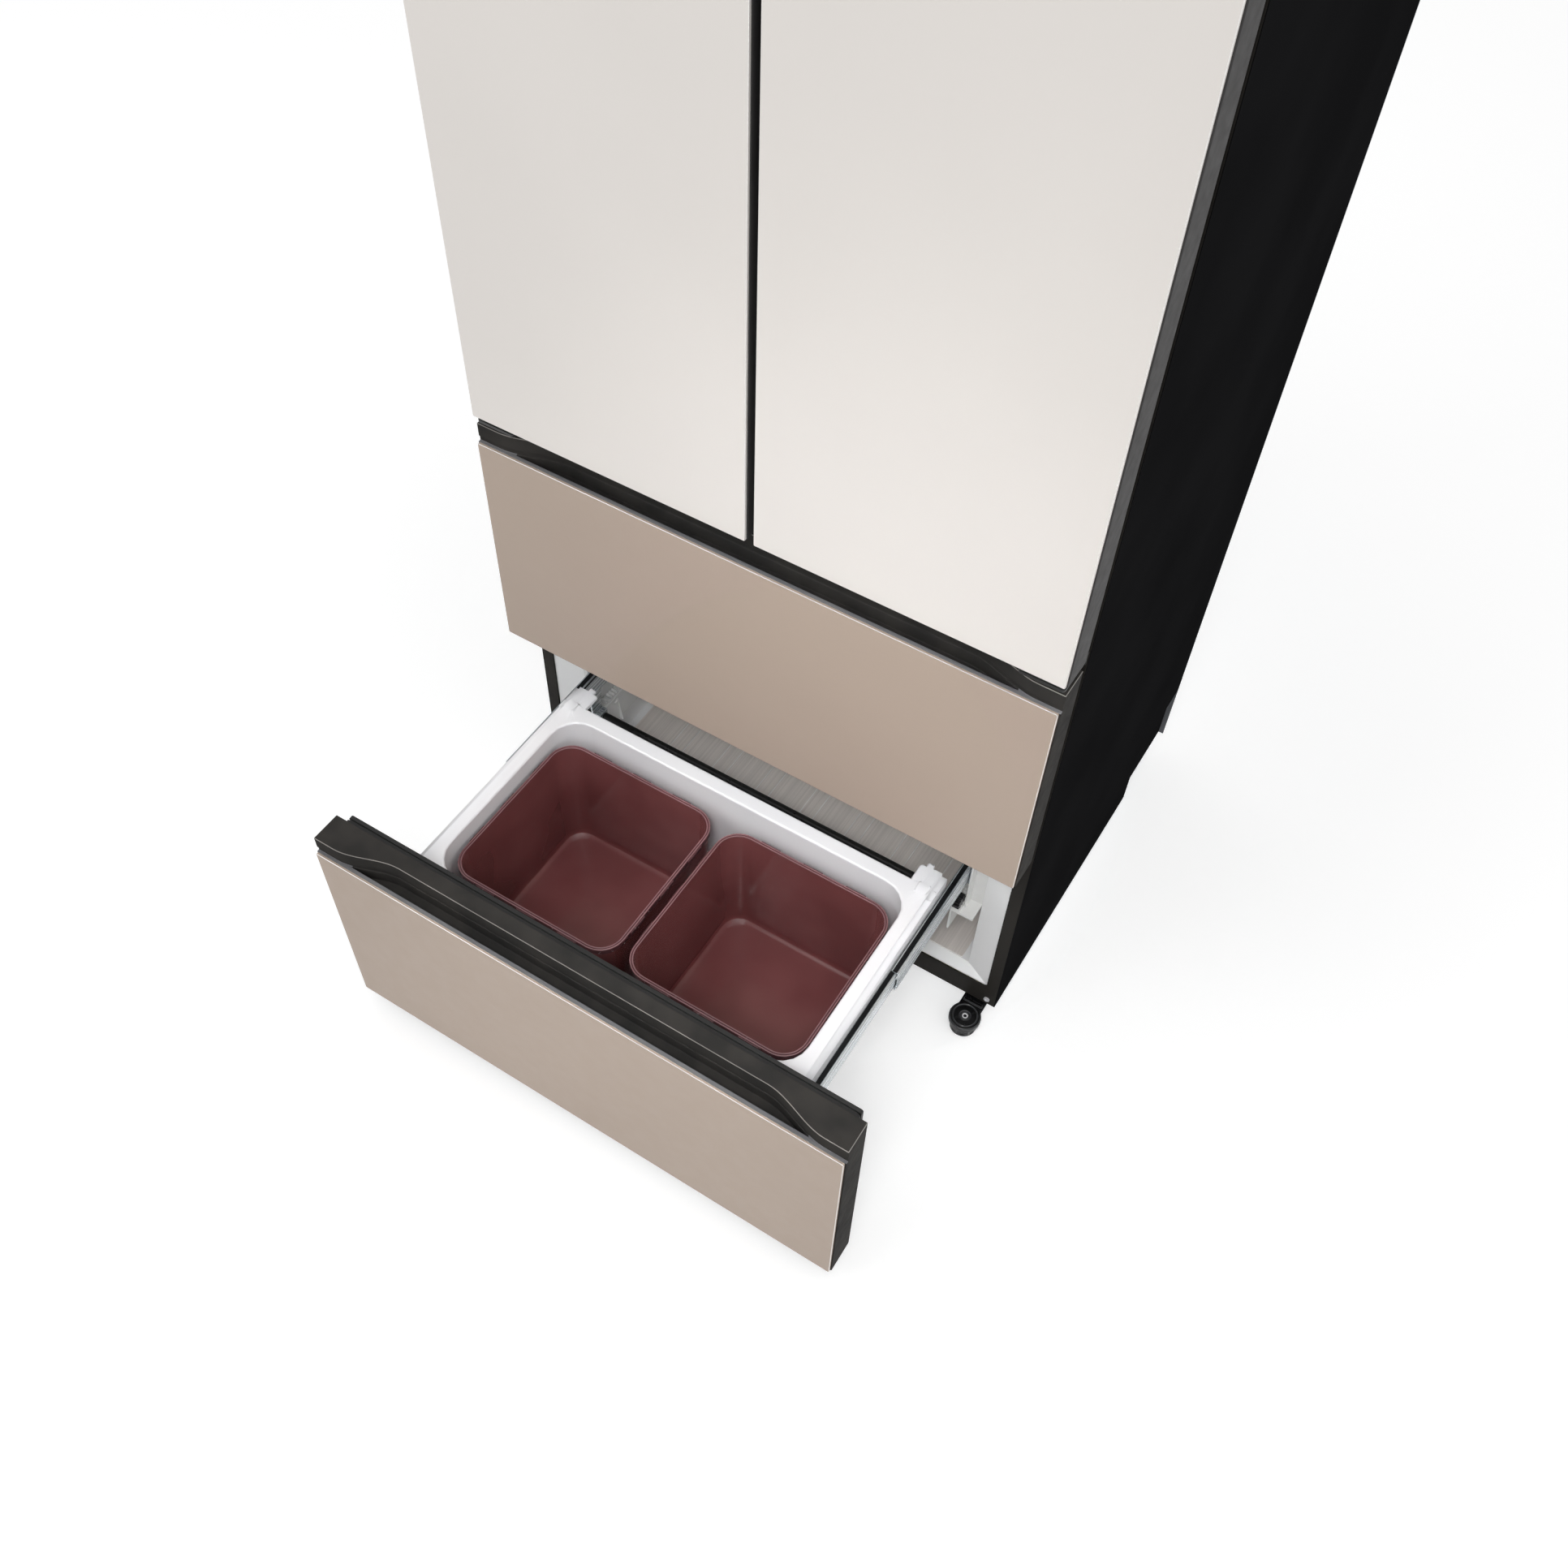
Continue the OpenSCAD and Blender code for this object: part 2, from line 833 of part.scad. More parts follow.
// Rounded bottom edge of a tub, by two steps of narrowing
module tub_body(x0, x1, y0, y1, z0, z1, r, draft, edge) {
    taper(x0, x1, y0, y1, z0 + edge, z1, r, draft);
    hull() {
        slab(x0 + draft, x1 - draft, y0 + draft, y1 - draft, z0 + edge, z0 + edge + 0.01, r);
        slab(x0 + draft + 0.3 * edge, x1 - draft - 0.3 * edge, y0 + draft + 0.3 * edge,
            y1 - draft - 0.3 * edge, z0 + 0.3 * edge, z0 + 0.3 * edge + 0.01, r - 0.3 * edge);
        slab(x0 + draft + edge, x1 - draft - edge, y0 + draft + edge, y1 - draft - edge,
            z0, z0 + 0.01, r - edge);
    }
}

// Stepped side rail that hangs the tray on the innermost slide member
module tray_rail(z, seat) {
    front_prism(tray_y0, ear_y, [
        [tray_half - 8, z], [tray_half, z], [tray_half, z - 7], [side_step, z - 7],
        [side_step, seat], [seat_in, seat], [seat_in, seat + 3], [side_step - 3, seat + 3],
        [side_step - 3, z - 10], [tray_half - 3, z - 10], [tray_half - 3, z - 3],
        [tray_half - 8, z - 3]]);
    slab(tray_half - 18, tray_half - 1, ear_y - 44, ear_y - 28, z - 1, z + 3.5, 3);
    slab(tray_half - 4, side_step - 1, ear_y - 44, ear_y - 28, z - 8, z - 3.5, 2);
    slab(tray_half - 24, tray_half - 14, ear_y - 4, ear_y + 7, z - 3, z, 3);
}

module tray(top) {
    z = top - tray_drop;
    w = tray_wall;
    difference() {
        union() {
            slab(2 - tray_half, tray_half - 2, tray_y0, tray_y1, z - 3, z, 1);
            both_sides()
                slab(ear_in, tray_half - 2, tray_y1 - 20, ear_y, z - 3, z, 5);
            tub_body(-tray_inner - w, tray_inner + w, tray_in0 - w, tray_in1 + w,
                z - tray_depth, z - 1, tray_corner + w, tray_draft, 12);
        }
        tub_body(-tray_inner, tray_inner, tray_in0, tray_in1, z - tray_depth + w, z + cut,
            tray_corner, tray_draft, 12);
    }
    both_sides()
        tray_rail(z, top - slide_drop);
}

module lower_tray() {
    color([0.95, 0.95, 0.96])
        placed(drawer_open)
            tray(lower_top);
}

module middle_tray() {
    color([0.95, 0.95, 0.96])
        placed()
            tray(middle_top);
}

bin_x0 = 6;
bin_width = tray_inner - bin_gap - bin_x0;
bin_y1 = tray_in1 - 20;
bin_y0 = bin_y1 - bin_length;
bin_lip = 7;
bin_draft = 5;
tab_step = bin_length / 4;

module bin(top) {
    x1 = bin_x0 + bin_width;
    z1 = top - bin_drop;
    z0 = top - tray_drop - tray_depth + tray_wall;
    w = bin_wall;
    lip = bin_lip;
    difference() {
        union() {
            tub_body(bin_x0 + lip - w, x1 - lip + w, bin_y0 + lip - w, bin_y1 - lip + w, z0,
                z1 - 1, bin_corner - lip + w, bin_draft, 10);
            difference() {
                slab(bin_x0 + 1.5, x1 - 1.5, bin_y0 + 1.5, bin_y1 - 1.5, z1 - 9, z1,
                    bin_corner - 1.5);
                slab(bin_x0 + 3.5, x1 - 3.5, bin_y0 + 3.5, bin_y1 - 3.5, z1 - 10, z1 - 2,
                    bin_corner - 3.5);
            }
        }
        tub_body(bin_x0 + lip, x1 - lip, bin_y0 + lip, bin_y1 - lip, z0 + w, z1 + cut,
            bin_corner - lip, bin_draft, 10);
    }
    for (i = [-1 : 1])
        for (y = [bin_y0, bin_y1 - 3])
            box([(bin_x0 + x1) / 2 + i * tab_step - 15, y, z1 - 8],
                [(bin_x0 + x1) / 2 + i * tab_step + 15, y + 3, z1 - 0.5]);
    for (i = [-1 : 1])
        for (x = [bin_x0, x1 - 3])
            box([x, (bin_y0 + bin_y1) / 2 + i * tab_step - 15, z1 - 8],
                [x + 3, (bin_y0 + bin_y1) / 2 + i * tab_step + 15, z1 - 0.5]);
}

module lower_right_bin() {
    color([0.36, 0.17, 0.19, 0.9])
        placed(drawer_open)
            bin(lower_top);
}

module lower_left_bin() {
    color([0.36, 0.17, 0.19, 0.9])
        placed(drawer_open)
            mirror([1, 0, 0])
                bin(lower_top);
}

module middle_bins() {
    color([0.36, 0.17, 0.19, 0.9])
        placed()
            both_sides()
                bin(middle_top);
}

// ---- slides, racks and shaft ----

inner_x = side_step;
outer_x = inner_x + 16;
slide_height = 29;
rack_x = inner_x + 4;
rack_front = door_thickness + 3;
slide_front = frame_y + 13.5;
shaft_y = rack_front + 3.5 + drawer_travel;
rack_end = shaft_y + 14;
pitch = pinion_teeth * tooth_module / 2;
tooth_pitch = PI * tooth_module;
addendum = 0.8 * tooth_module;
dedendum = 1.05 * tooth_module;
tooth_play = 0.25;

// Sheet channel open towards lower x, with a bearing strip on its top and underside
module channel(x0, x1, z0, z1, y0, y1, strip) {
    t = slide_sheet;
    front_prism(y0, y1, [
        [x1, z0], [x1, z1], [x1 - 3, z1], [x1 - 3, z1 + strip], [x1 - 9, z1 + strip],
        [x1 - 9, z1], [x0, z1], [x0, z1 - t], [x1 - t, z1 - t], [x1 - t, z0 + t],
        [x0, z0 + t], [x0, z0], [x1 - 9, z0], [x1 - 9, z0 - strip], [x1 - 3, z0 - strip],
        [x1 - 3, z0]]);
}

slide_nest = slide_sheet + 2.4;
housing_x = inner_x - 13;

// Innermost member, with the ledge the tray rests on and the housing of the shaft's end
module inner_slide(top) {
    z1 = top - slide_drop;
    z0 = z1 - slide_height;
    channel(inner_x, inner_x + 10, z0, z1, slide_front, slide_front + slide_length,
        2.4 - sliding);
    box([inner_x, door_thickness, z0 + 2], [inner_x + 1.5, slide_front + slide_length, z1 - 1]);
    box([inner_x - 18, door_thickness, z0 - 6], [inner_x + 1.5, door_thickness + 2, z1 - 1]);
    box([inner_x - 10, slide_front, z1 - 2], [inner_x + 2, ear_y, z1]);
    difference() {
        union() {
            side_prism(inner_x - 1.5, inner_x + 1.5, [
                [shaft_y - 14, z0 + 6], [shaft_y - 9, top - shaft_drop - 9],
                [shaft_y + 9, top - shaft_drop - 9], [shaft_y + 14, z0 + 6]]);
            box([housing_x, shaft_y - 9, top - shaft_drop - 9],
                [inner_x, shaft_y + 9, top - shaft_drop + 9]);
        }
        rod_x(housing_x - 1, inner_x + 2, shaft_y, top - shaft_drop, shaft_radius + running);
        for (y = [-7 : 4.5 : 7])
            box([housing_x + 2, shaft_y + y - 1, top - shaft_drop + 6],
                [inner_x - 3, shaft_y + y + 1, top - shaft_drop + 10]);
    }
}

module mid_slide(top) {
    z1 = top - slide_drop + slide_nest;
    z0 = top - slide_drop - slide_height - slide_nest;
    channel(inner_x + 2, inner_x + 13, z0, z1, slide_front, slide_front + slide_length,
        2.4 - sliding);
    for (z = [z0 + 3, z1 - 7])
        box([inner_x + 10.8, slide_front - 5, z], [inner_x + 13, slide_front + 4, z + 4]);
}

module outer_slide(top) {
    z1 = top - slide_drop + 2 * slide_nest;
    z0 = top - slide_drop - slide_height - 2 * slide_nest;
    channel(inner_x + 3, outer_x, z0, z1, slide_front - 8, slide_front + slide_length, 0);
}

rack_count = ceil((rack_end - rack_front) / tooth_pitch);

// One tooth of the rack, centred at c; the teeth point up
function rack_tooth(c) = [
    [c - tooth_pitch / 4 - dedendum * tan(20) + tooth_play / 2, -dedendum],
    [c - tooth_pitch / 4 + addendum * tan(20) + tooth_play / 2, addendum],
    [c + tooth_pitch / 4 - addendum * tan(20) - tooth_play / 2, addendum],
    [c + tooth_pitch / 4 + dedendum * tan(20) - tooth_play / 2, -dedendum]];

// A rack tooth stands under the shaft at rest, where the pinion has a gap
function rack_outline(depth, rest) = concat(
    [[rack_front, -depth], [rack_front, -dedendum]],
    [for (i = [-rack_count : rack_count])
        let (c = rest + i * tooth_pitch)
            if (c - tooth_pitch / 2 > rack_front && c + tooth_pitch / 2 < rack_end)
                for (p = rack_tooth(c)) p],
    [[rack_end, -dedendum], [rack_end, -depth]]);

// Moulded carrier of a rack and its outer slide: a wall, a shelf and ribs to the liner
module rack(top, rest) {
    line = top - shaft_drop - pitch;
    y1 = slide_front + slide_length;
    shelf_top = line - dedendum - 6;
    crest = top - slide_drop + 2 * slide_nest;
    translate([0, 0, line])
        side_prism(rack_x, rack_x + 11, rack_outline(dedendum + 8, rest));
    box([rack_x, rack_front, shelf_top - 4], [room_half, y1, shelf_top]);
    box([outer_x, rack_front + 13, shelf_top - 1], [outer_x + 2.5, y1, crest]);
    for (i = [0 : 6])
        side_rib(i, y1, shelf_top, crest);
    difference() {
        side_prism(rack_x - 3, rack_x, [
            [rack_front, line - dedendum - 1], [y1, line - dedendum - 1],
            [y1, shelf_top - 6], [rack_front + 170, shelf_top - 6],
            [rack_front + 130, shelf_top - 50], [rack_front, shelf_top - 50]]);
        rod_x(rack_x - 4, rack_x + 1, rack_front + 54, line - dedendum - 10, 5);
    }
    for (y = [rack_front + 34, rack_front + 60])
        front_prism(y, y + 2, [
            [rack_x - 3 + cut, line - dedendum - 8], [rack_x - 3 + cut, shelf_top - 50],
            [rack_x - 10, shelf_top - 50]]);
}

// Upright rib between the carrier's wall and the liner
module side_rib(i, y1, shelf_top, crest) {
    y = slide_front + 6 + i * (y1 - slide_front - 10) / 6;
    front_prism(y, y + 2.5, [
        [outer_x + 1, shelf_top - 1], [room_half, shelf_top - 1], [room_half, crest - 30],
        [outer_x + 6, crest], [outer_x + 1, crest]]);
}

// Tooth flank of the pinion, by the radius and half angle at three heights
function flank(r) = 90 / pinion_teeth - (r - pitch) * 16 / pitch - tooth_play * 28 / pitch;
function pinion_tooth(a) = [
    [pitch - dedendum, a - flank(pitch - dedendum)], [pitch, a - flank(pitch)],
    [pitch + addendum * 0.6, a - flank(pitch + addendum * 0.6) + 1],
    [pitch + addendum, a - flank(pitch + addendum) + 3],
    [pitch + addendum, a + flank(pitch + addendum) - 3],
    [pitch + addendum * 0.6, a + flank(pitch + addendum * 0.6) - 1],
    [pitch, a + flank(pitch)], [pitch - dedendum, a + flank(pitch - dedendum)]];
pinion_outline = [
    for (i = [0 : pinion_teeth - 1])
        for (p = pinion_tooth(180 / pinion_teeth - 90 + i * 360 / pinion_teeth))
            [p[0] * cos(p[1]), p[0] * sin(p[1])]];

module sync_shaft(top) {
    translate([0, shaft_y, top - shaft_drop]) {
        rod_x(-rack_x - 4, rack_x + 4, 0, 0, shaft_radius);
        rod_x(1 - housing_x, housing_x - 1, 0, 0, 6.5);
        side_prism(rack_x - 1.5, rack_x + 10, pinion_outline);
        side_prism(-rack_x - 10, 1.5 - rack_x, pinion_outline);
    }
}

module lower_inner_slides() {
    color([0.66, 0.69, 0.72])
        placed(drawer_open)
            both_sides()
                inner_slide(lower_top);
}

module middle_inner_slides() {
    color([0.66, 0.69, 0.72])
        placed()
            both_sides()
                inner_slide(middle_top);
}

module lower_mid_slides() {
    color([0.6, 0.63, 0.66])
        placed(drawer_open / 2)
            both_sides()
                mid_slide(lower_top);
}

module middle_mid_slides() {
    color([0.6, 0.63, 0.66])
        placed()
            both_sides()
                mid_slide(middle_top);
}

module lower_outer_slides() {
    color([0.55, 0.58, 0.6])
        placed()
            both_sides()
                outer_slide(lower_top);
}

module middle_outer_slides() {
    color([0.55, 0.58, 0.6])
        placed()
            both_sides()
                outer_slide(middle_top);
}

module lower_racks() {
    color([0.86, 0.87, 0.87])
        placed()
            both_sides()
                rack(lower_top, shaft_y - drawer_open);
}

module middle_racks() {
    color([0.86, 0.87, 0.87])
        placed()
            both_sides()
                rack(middle_top, shaft_y);
}

module lower_sync_shaft() {
    color([0.08, 0.08, 0.08])
        placed(drawer_open)
            sync_shaft(lower_top);
}

module middle_sync_shaft() {
    color([0.08, 0.08, 0.08])
        placed()
            sync_shaft(middle_top);
}

// ---- feet and rollers ----

foot_x = half - foot_inset;
foot_top = floor_gap - 6;

neck_half = 0.75 * foot_radius;

// Round cap over a front foot, with a neck that runs back under the frame
module foot_bracket() {
    difference() {
        union() {
            translate([foot_x, foot_back, foot_top - 9])
                cylinder(h = 8, r = foot_radius, $fn = 64);
            translate([foot_x, foot_back, foot_top - 1])
                cylinder(h = 1, r1 = foot_radius, r2 = foot_radius - 1.5, $fn = 64);
            box([foot_x - neck_half, foot_back, foot_top - 3],
                [foot_x + neck_half, frame_y + 60, foot_top]);
            box([foot_x - neck_half, mouth_y + 2, foot_top - 3],
                [foot_x + neck_half, frame_y + 60, floor_gap]);
            slab(foot_x - neck_half + 3, foot_x + neck_half - 3, foot_back + foot_radius - 1,
                foot_back + foot_radius + 4, foot_top - 1, foot_top + 2.5, 2);
        }
        rod_z(foot_x, foot_back, foot_top - 10, foot_top + cut, 5 + running);
        difference() {
            rod_z(foot_x, foot_back, foot_top - 1, foot_top + cut, foot_radius - 5, 64);
            rod_z(foot_x, foot_back, foot_top - 2, foot_top + 2, foot_radius - 6.2, 64);
        }
        difference() {
            rod_z(foot_x, foot_back, foot_top - 1.5, foot_top + cut, 8.5);
            rod_z(foot_x, foot_back, foot_top - 2, foot_top + 2, 6.5);
        }
    }
}

module foot_brackets() {
    color([0.07, 0.07, 0.07])
        placed()
            both_sides()
                foot_bracket();
}

// Levelling foot: threaded stem, eight-sided nut and pad
module foot() {
    rod_z(foot_x, foot_back, 1, foot_top - 1, 5);
    translate([foot_x, foot_back, 4])
        cylinder(h = foot_top - 13, r = foot_radius - 3, $fn = 8);
    rod_z(foot_x, foot_back, 0, 5, foot_radius - 4);
}

module right_foot() {
    color([0.09, 0.09, 0.09])
        placed()
            foot();
}

module left_foot() {
    color([0.09, 0.09, 0.09])
        placed()
            mirror([1, 0, 0])
                foot();
}

roller_x = half - 60;
roller_y = back_y - 60;

module roller_fork() {
    for (x = [roller_x - 12, roller_x + 9])
        difference() {
            side_prism(x, x + 3, [
                [roller_y - 14, floor_gap + 1], [roller_y - 8, roller_radius - 8],
                [roller_y + 8, roller_radius - 8], [roller_y + 14, floor_gap + 1]]);
            rod_x(x - cut, x + 4, roller_y, roller_radius, 4 + running);
        }
}

module roller() {
    rod_x(roller_x - 8, roller_x + 8, roller_y, roller_radius, roller_radius);
    rod_x(roller_x - 14, roller_x + 14, roller_y, roller_radius, 4);
}

module right_roller() {
    color([0.2, 0.2, 0.21])
        placed()
            roller();
}

module left_roller() {
    color([0.2, 0.2, 0.21])
        placed()
            mirror([1, 0, 0])
                roller();
}

// Cross-head screws through the front frame's lower corners
module frame_screws() {
    color([0.8, 0.8, 0.82])
        placed()
            both_sides()
                translate([screw_x, mouth_y, screw_z])
                    rotate([90, 0, 0])
                        difference() {
                            union() {
                                cylinder(h = frame_thickness + 1, r = screw_radius, $fn = 32);
                                translate([0, 0, frame_thickness])
                                    cylinder(h = 2.5, r = 4.5, $fn = 32);
                            }
                            translate([-2.5, -0.5, frame_thickness + 1])
                                cube([5, 1, 3]);
                            translate([-0.5, -2.5, frame_thickness + 1])
                                cube([1, 5, 3]);
                        }
}

// ---- machine room ----

comp_margin = 247.5;
comp_x = half - comp_margin;
comp_y = (machine_front + back_y) / 2;
comp_z = floor_gap + 2;
machine_height = machine_top - comp_z;
comp_radius = 0.44 * machine_height;
comp_height = 0.66 * machine_height;
comp_foot = comp_radius + 8;

module compressor() {
    color([0.07, 0.07, 0.08])
        placed() {
            for (x = [comp_x - comp_foot, comp_x + comp_foot])
                rod_z(x, comp_y, comp_z, comp_z + 14, 9);
            box([comp_x - comp_foot - 14, comp_y - comp_radius / 2, comp_z + 12],
                [comp_x + comp_foot + 14, comp_y + comp_radius / 2, comp_z + 15]);
            rod_z(comp_x, comp_y, comp_z + 14, comp_z + comp_height, comp_radius);
            translate([comp_x, comp_y, comp_z + comp_height])
                cylinder(h = 18, r1 = comp_radius, r2 = 0.65 * comp_radius, $fn = 48);
            rod_x(comp_x - comp_radius - 30, comp_x - comp_radius + 12, comp_y + 10,
                comp_z + comp_height * 0.65, 5);
            box([comp_x + comp_radius - 12, comp_y - 24, comp_z + 0.33 * comp_height],
                [comp_x + comp_radius + 18, comp_y + 24, comp_z + 0.87 * comp_height]);
        }
}

// Sides of the condenser in the machine room, from the cabinet's side and from its middle
cond_margin = 57.5;
cond_end = 173;
cond_x = cond_margin - half;
cond_width = half - cond_margin - cond_end;

module condenser() {
    color([0.1, 0.1, 0.1])
        placed() {
            for (i = [0 : 11])
                box([cond_x + i * cond_width / 11, comp_y - 50, comp_z + 6],
                    [cond_x + i * cond_width / 11 + 1.2, comp_y + 50, comp_z + 0.75 * machine_height]);
            for (z = [1 : 4])
                for (y = [-30, 0, 30])
                    rod_x(cond_x - 8, cond_x + cond_width + 8, comp_y + y,
                        comp_z + z * 0.16 * machine_height, 3.2, 16);
            for (y = [-40, 36])
                box([cond_x - 6, comp_y + y, comp_z],
                    [cond_x + cond_width + 6, comp_y + y + 4, comp_z + 12]);
        }
}

fan_x = cond_x + cond_width + 113;
fan_z = comp_z + 62;

module fan_motor() {
    color([0.15, 0.15, 0.16])
        placed() {
            difference() {
                box([fan_x - 12, comp_y - 62, comp_z], [fan_x + 12, comp_y + 62, comp_z + 124]);
                rod_x(fan_x - 13, fan_x + 13, comp_y, fan_z, 56, 64);
            }
            rod_x(fan_x + 5, fan_x + 30, comp_y, fan_z, 18);
            difference() {
                box([fan_x + 8, comp_y - 60, fan_z - 5], [fan_x + 12, comp_y + 60, fan_z + 5]);
                rod_x(fan_x + 7, fan_x + 13, comp_y, fan_z, 10);
            }
            rod_x(fan_x - 8, fan_x + 6, comp_y, fan_z, 3);
        }
}

module condenser_fan() {
    color([0.2, 0.2, 0.22])
        placed()
            translate([fan_x, comp_y, fan_z])
                rotate([0, -90, 0])
                    difference() {
                        union() {
                            translate([0, 0, -2])
                                cylinder(h = 12, r = 16, $fn = 48);
                            for (i = [0 : 6])
                                rotate([0, 0, i * 360 / 7])
                                    translate([33, 0, 4])
                                        rotate([28, 0, 0])
                                            cube([38, 18, 1.6], center = true);
                        }
                        translate([0, 0, -3])
                            cylinder(h = 11.5, r = 3 + running, $fn = 48);
                    }
}

cover_margin = 60;
cover_half = half - cover_margin;

module machine_cover() {
    color([0.3, 0.31, 0.33])
        placed()
            difference() {
                union() {
                    box([-half, back_y - 2, floor_gap], [half, back_y, machine_top]);
                    face(-cover_half, cover_half, floor_gap + 14, machine_top - 14,
                        back_y - cut, total_depth, 8);
                }
                face(4 - cover_half, cover_half - 4, floor_gap + 18, machine_top - 18,
                    back_y - 3, total_depth - 2, 5);
                for (i = [0 : 21])
                    for (z = [0 : 2])
                        translate([(2 * i / 21 - 1) * (cover_half - 26), total_depth,
                            floor_gap + (machine_top - floor_gap) * (0.24 + 0.24 * z)])
                            box([-9, -3, 0], [9, cut, 8]);
            }
}

cabinet_shell();
back_panel();
base_pan();
cabinet_foam();
upper_left_liner();
upper_right_liner();
middle_liner();
lower_liner();
front_frame();
lower_floor_plate();
upper_shelves();
top_hinges();
centre_hinges();
hinge_covers();
compressor();
condenser();
fan_motor();
condenser_fan();
machine_cover();
foot_brackets();
frame_screws();
left_foot();
right_foot();
left_roller();
right_roller();
left_door_panel();
left_door_case();
left_door_foam();
left_door_liner();
left_door_bins();
left_door_gasket();
right_door_panel();
right_door_case();
right_door_foam();
right_door_liner();
right_door_bins();
right_door_gasket();
lower_drawer_panel();
lower_drawer_case();
lower_drawer_foam();
lower_drawer_gasket();
lower_tray();
lower_left_bin();
lower_right_bin();
lower_inner_slides();
lower_mid_slides();
lower_outer_slides();
lower_racks();
lower_sync_shaft();
middle_drawer_panel();
middle_drawer_case();
middle_drawer_foam();
middle_drawer_gasket();
middle_tray();
middle_bins();
middle_inner_slides();
middle_mid_slides();
middle_outer_slides();
middle_racks();
middle_sync_shaft();
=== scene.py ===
"""Looks of the four-room kimchi refrigerator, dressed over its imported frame."""
import json
import math

import bmesh
import bpy
from mathutils import Matrix, Vector

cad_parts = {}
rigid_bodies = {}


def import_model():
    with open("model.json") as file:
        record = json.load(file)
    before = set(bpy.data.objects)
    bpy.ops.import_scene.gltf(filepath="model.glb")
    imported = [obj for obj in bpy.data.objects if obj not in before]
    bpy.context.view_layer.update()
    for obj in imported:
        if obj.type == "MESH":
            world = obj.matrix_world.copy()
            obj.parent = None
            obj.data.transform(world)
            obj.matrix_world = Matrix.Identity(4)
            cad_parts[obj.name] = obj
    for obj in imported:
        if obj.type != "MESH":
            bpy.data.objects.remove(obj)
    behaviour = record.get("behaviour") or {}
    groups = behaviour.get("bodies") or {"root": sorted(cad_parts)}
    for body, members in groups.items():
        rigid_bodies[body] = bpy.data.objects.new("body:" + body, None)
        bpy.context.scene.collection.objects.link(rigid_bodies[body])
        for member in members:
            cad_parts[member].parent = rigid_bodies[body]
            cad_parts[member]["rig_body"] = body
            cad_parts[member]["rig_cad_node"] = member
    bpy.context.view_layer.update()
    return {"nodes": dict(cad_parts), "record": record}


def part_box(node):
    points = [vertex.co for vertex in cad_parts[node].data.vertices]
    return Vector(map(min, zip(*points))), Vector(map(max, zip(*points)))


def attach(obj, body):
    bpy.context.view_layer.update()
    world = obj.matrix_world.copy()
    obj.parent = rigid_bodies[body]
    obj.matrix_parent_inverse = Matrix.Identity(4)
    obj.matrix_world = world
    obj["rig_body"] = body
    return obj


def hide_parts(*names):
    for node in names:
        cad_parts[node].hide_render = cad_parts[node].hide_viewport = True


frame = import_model()

MM = 0.001
cad = frame["nodes"]
slot_of = {part["node"]: part["material_slot"] for part in frame["record"]["subparts"]}
body_of = {node: body for body, members in frame["record"]["behaviour"]["bodies"].items()
           for node in members}


# ---- camera, floor and light ----

PHOTO_SIZE = 1932
FOCAL_PIXELS = 1928.6
CAMERA_PLACE = (0.6825, -1.2215, 2.0712)
CAMERA_RIGHT = (0.84857, 0.52843, 0.02618)
CAMERA_DOWN = (0.43610, -0.67057, -0.60012)
CAMERA_AHEAD = (-0.29957, 0.52067, -0.79948)
SENSOR_WIDTH = 36


def make_camera():
    """Camera at the photograph's place and angle."""
    bpy.ops.object.camera_add(location=CAMERA_PLACE)
    camera = bpy.context.object
    axes = (CAMERA_RIGHT, [-v for v in CAMERA_DOWN], [-v for v in CAMERA_AHEAD])
    camera.rotation_euler = Matrix(axes).transposed().to_euler()
    camera.data.sensor_width = SENSOR_WIDTH
    camera.data.lens = SENSOR_WIDTH * FOCAL_PIXELS / PHOTO_SIZE
    camera.data.clip_start = 0.05
    camera.data.clip_end = 60
    bpy.context.scene.camera = camera


def seen_ray(tree, kinds):
    """Socket that is 1 for the given kinds of ray."""
    path = tree.nodes.new("ShaderNodeLightPath")
    total = path.outputs[kinds[0]]
    for kind in kinds[1:]:
        either = tree.nodes.new("ShaderNodeMath")
        either.operation = "MAXIMUM"
        tree.links.new(total, either.inputs[0])
        tree.links.new(path.outputs[kind], either.inputs[1])
        total = either.outputs[0]
    return total


BACKGROUND_RAYS = ("Is Camera Ray", "Is Glossy Ray", "Is Transmission Ray")
FLOOR_SIZE = 14
FLOOR_GLOW = 0.42


def make_floor():
    """Pale floor that stays white and keeps the object's shadow."""
    bpy.ops.mesh.primitive_plane_add(size=FLOOR_SIZE)
    floor = bpy.context.object
    floor.name = "floor"
    material = bpy.data.materials.new("pale_floor")
    material.use_nodes = True
    tree = material.node_tree
    shader = tree.nodes["Principled BSDF"]
    shader.inputs["Base Color"].default_value = (0.8, 0.8, 0.8, 1)
    shader.inputs["Roughness"].default_value = 0.9
    shader.inputs["Specular IOR Level"].default_value = 0.1
    shader.inputs["Emission Color"].default_value = (1, 1, 1, 1)
    glow = tree.nodes.new("ShaderNodeMath")
    glow.operation = "MULTIPLY"
    glow.inputs[1].default_value = FLOOR_GLOW
    tree.links.new(seen_ray(tree, BACKGROUND_RAYS), glow.inputs[0])
    tree.links.new(glow.outputs[0], shader.inputs["Emission Strength"])
    floor.data.materials.append(material)


ROOM_LIGHT = 0.62

# name, place and target in metres, side of the lamp in metres, watts, spread in degrees
LAMPS = (
    ("key", (-2.2, -3.2, 3.6), (0, -0.2, 0.9), 2.4, 38, 180),
    ("fill", (3.4, -1.8, 2.2), (0.2, 0, 0.8), 2.0, 14, 180),
    ("top", (0.2, -0.6, 4.2), (0, -0.2, 0.4), 2.2, 26, 180),
    ("room", (0.62, -1.45, 2.35), (0.05, 0, 0.2), 0.5, 1, 32),
)


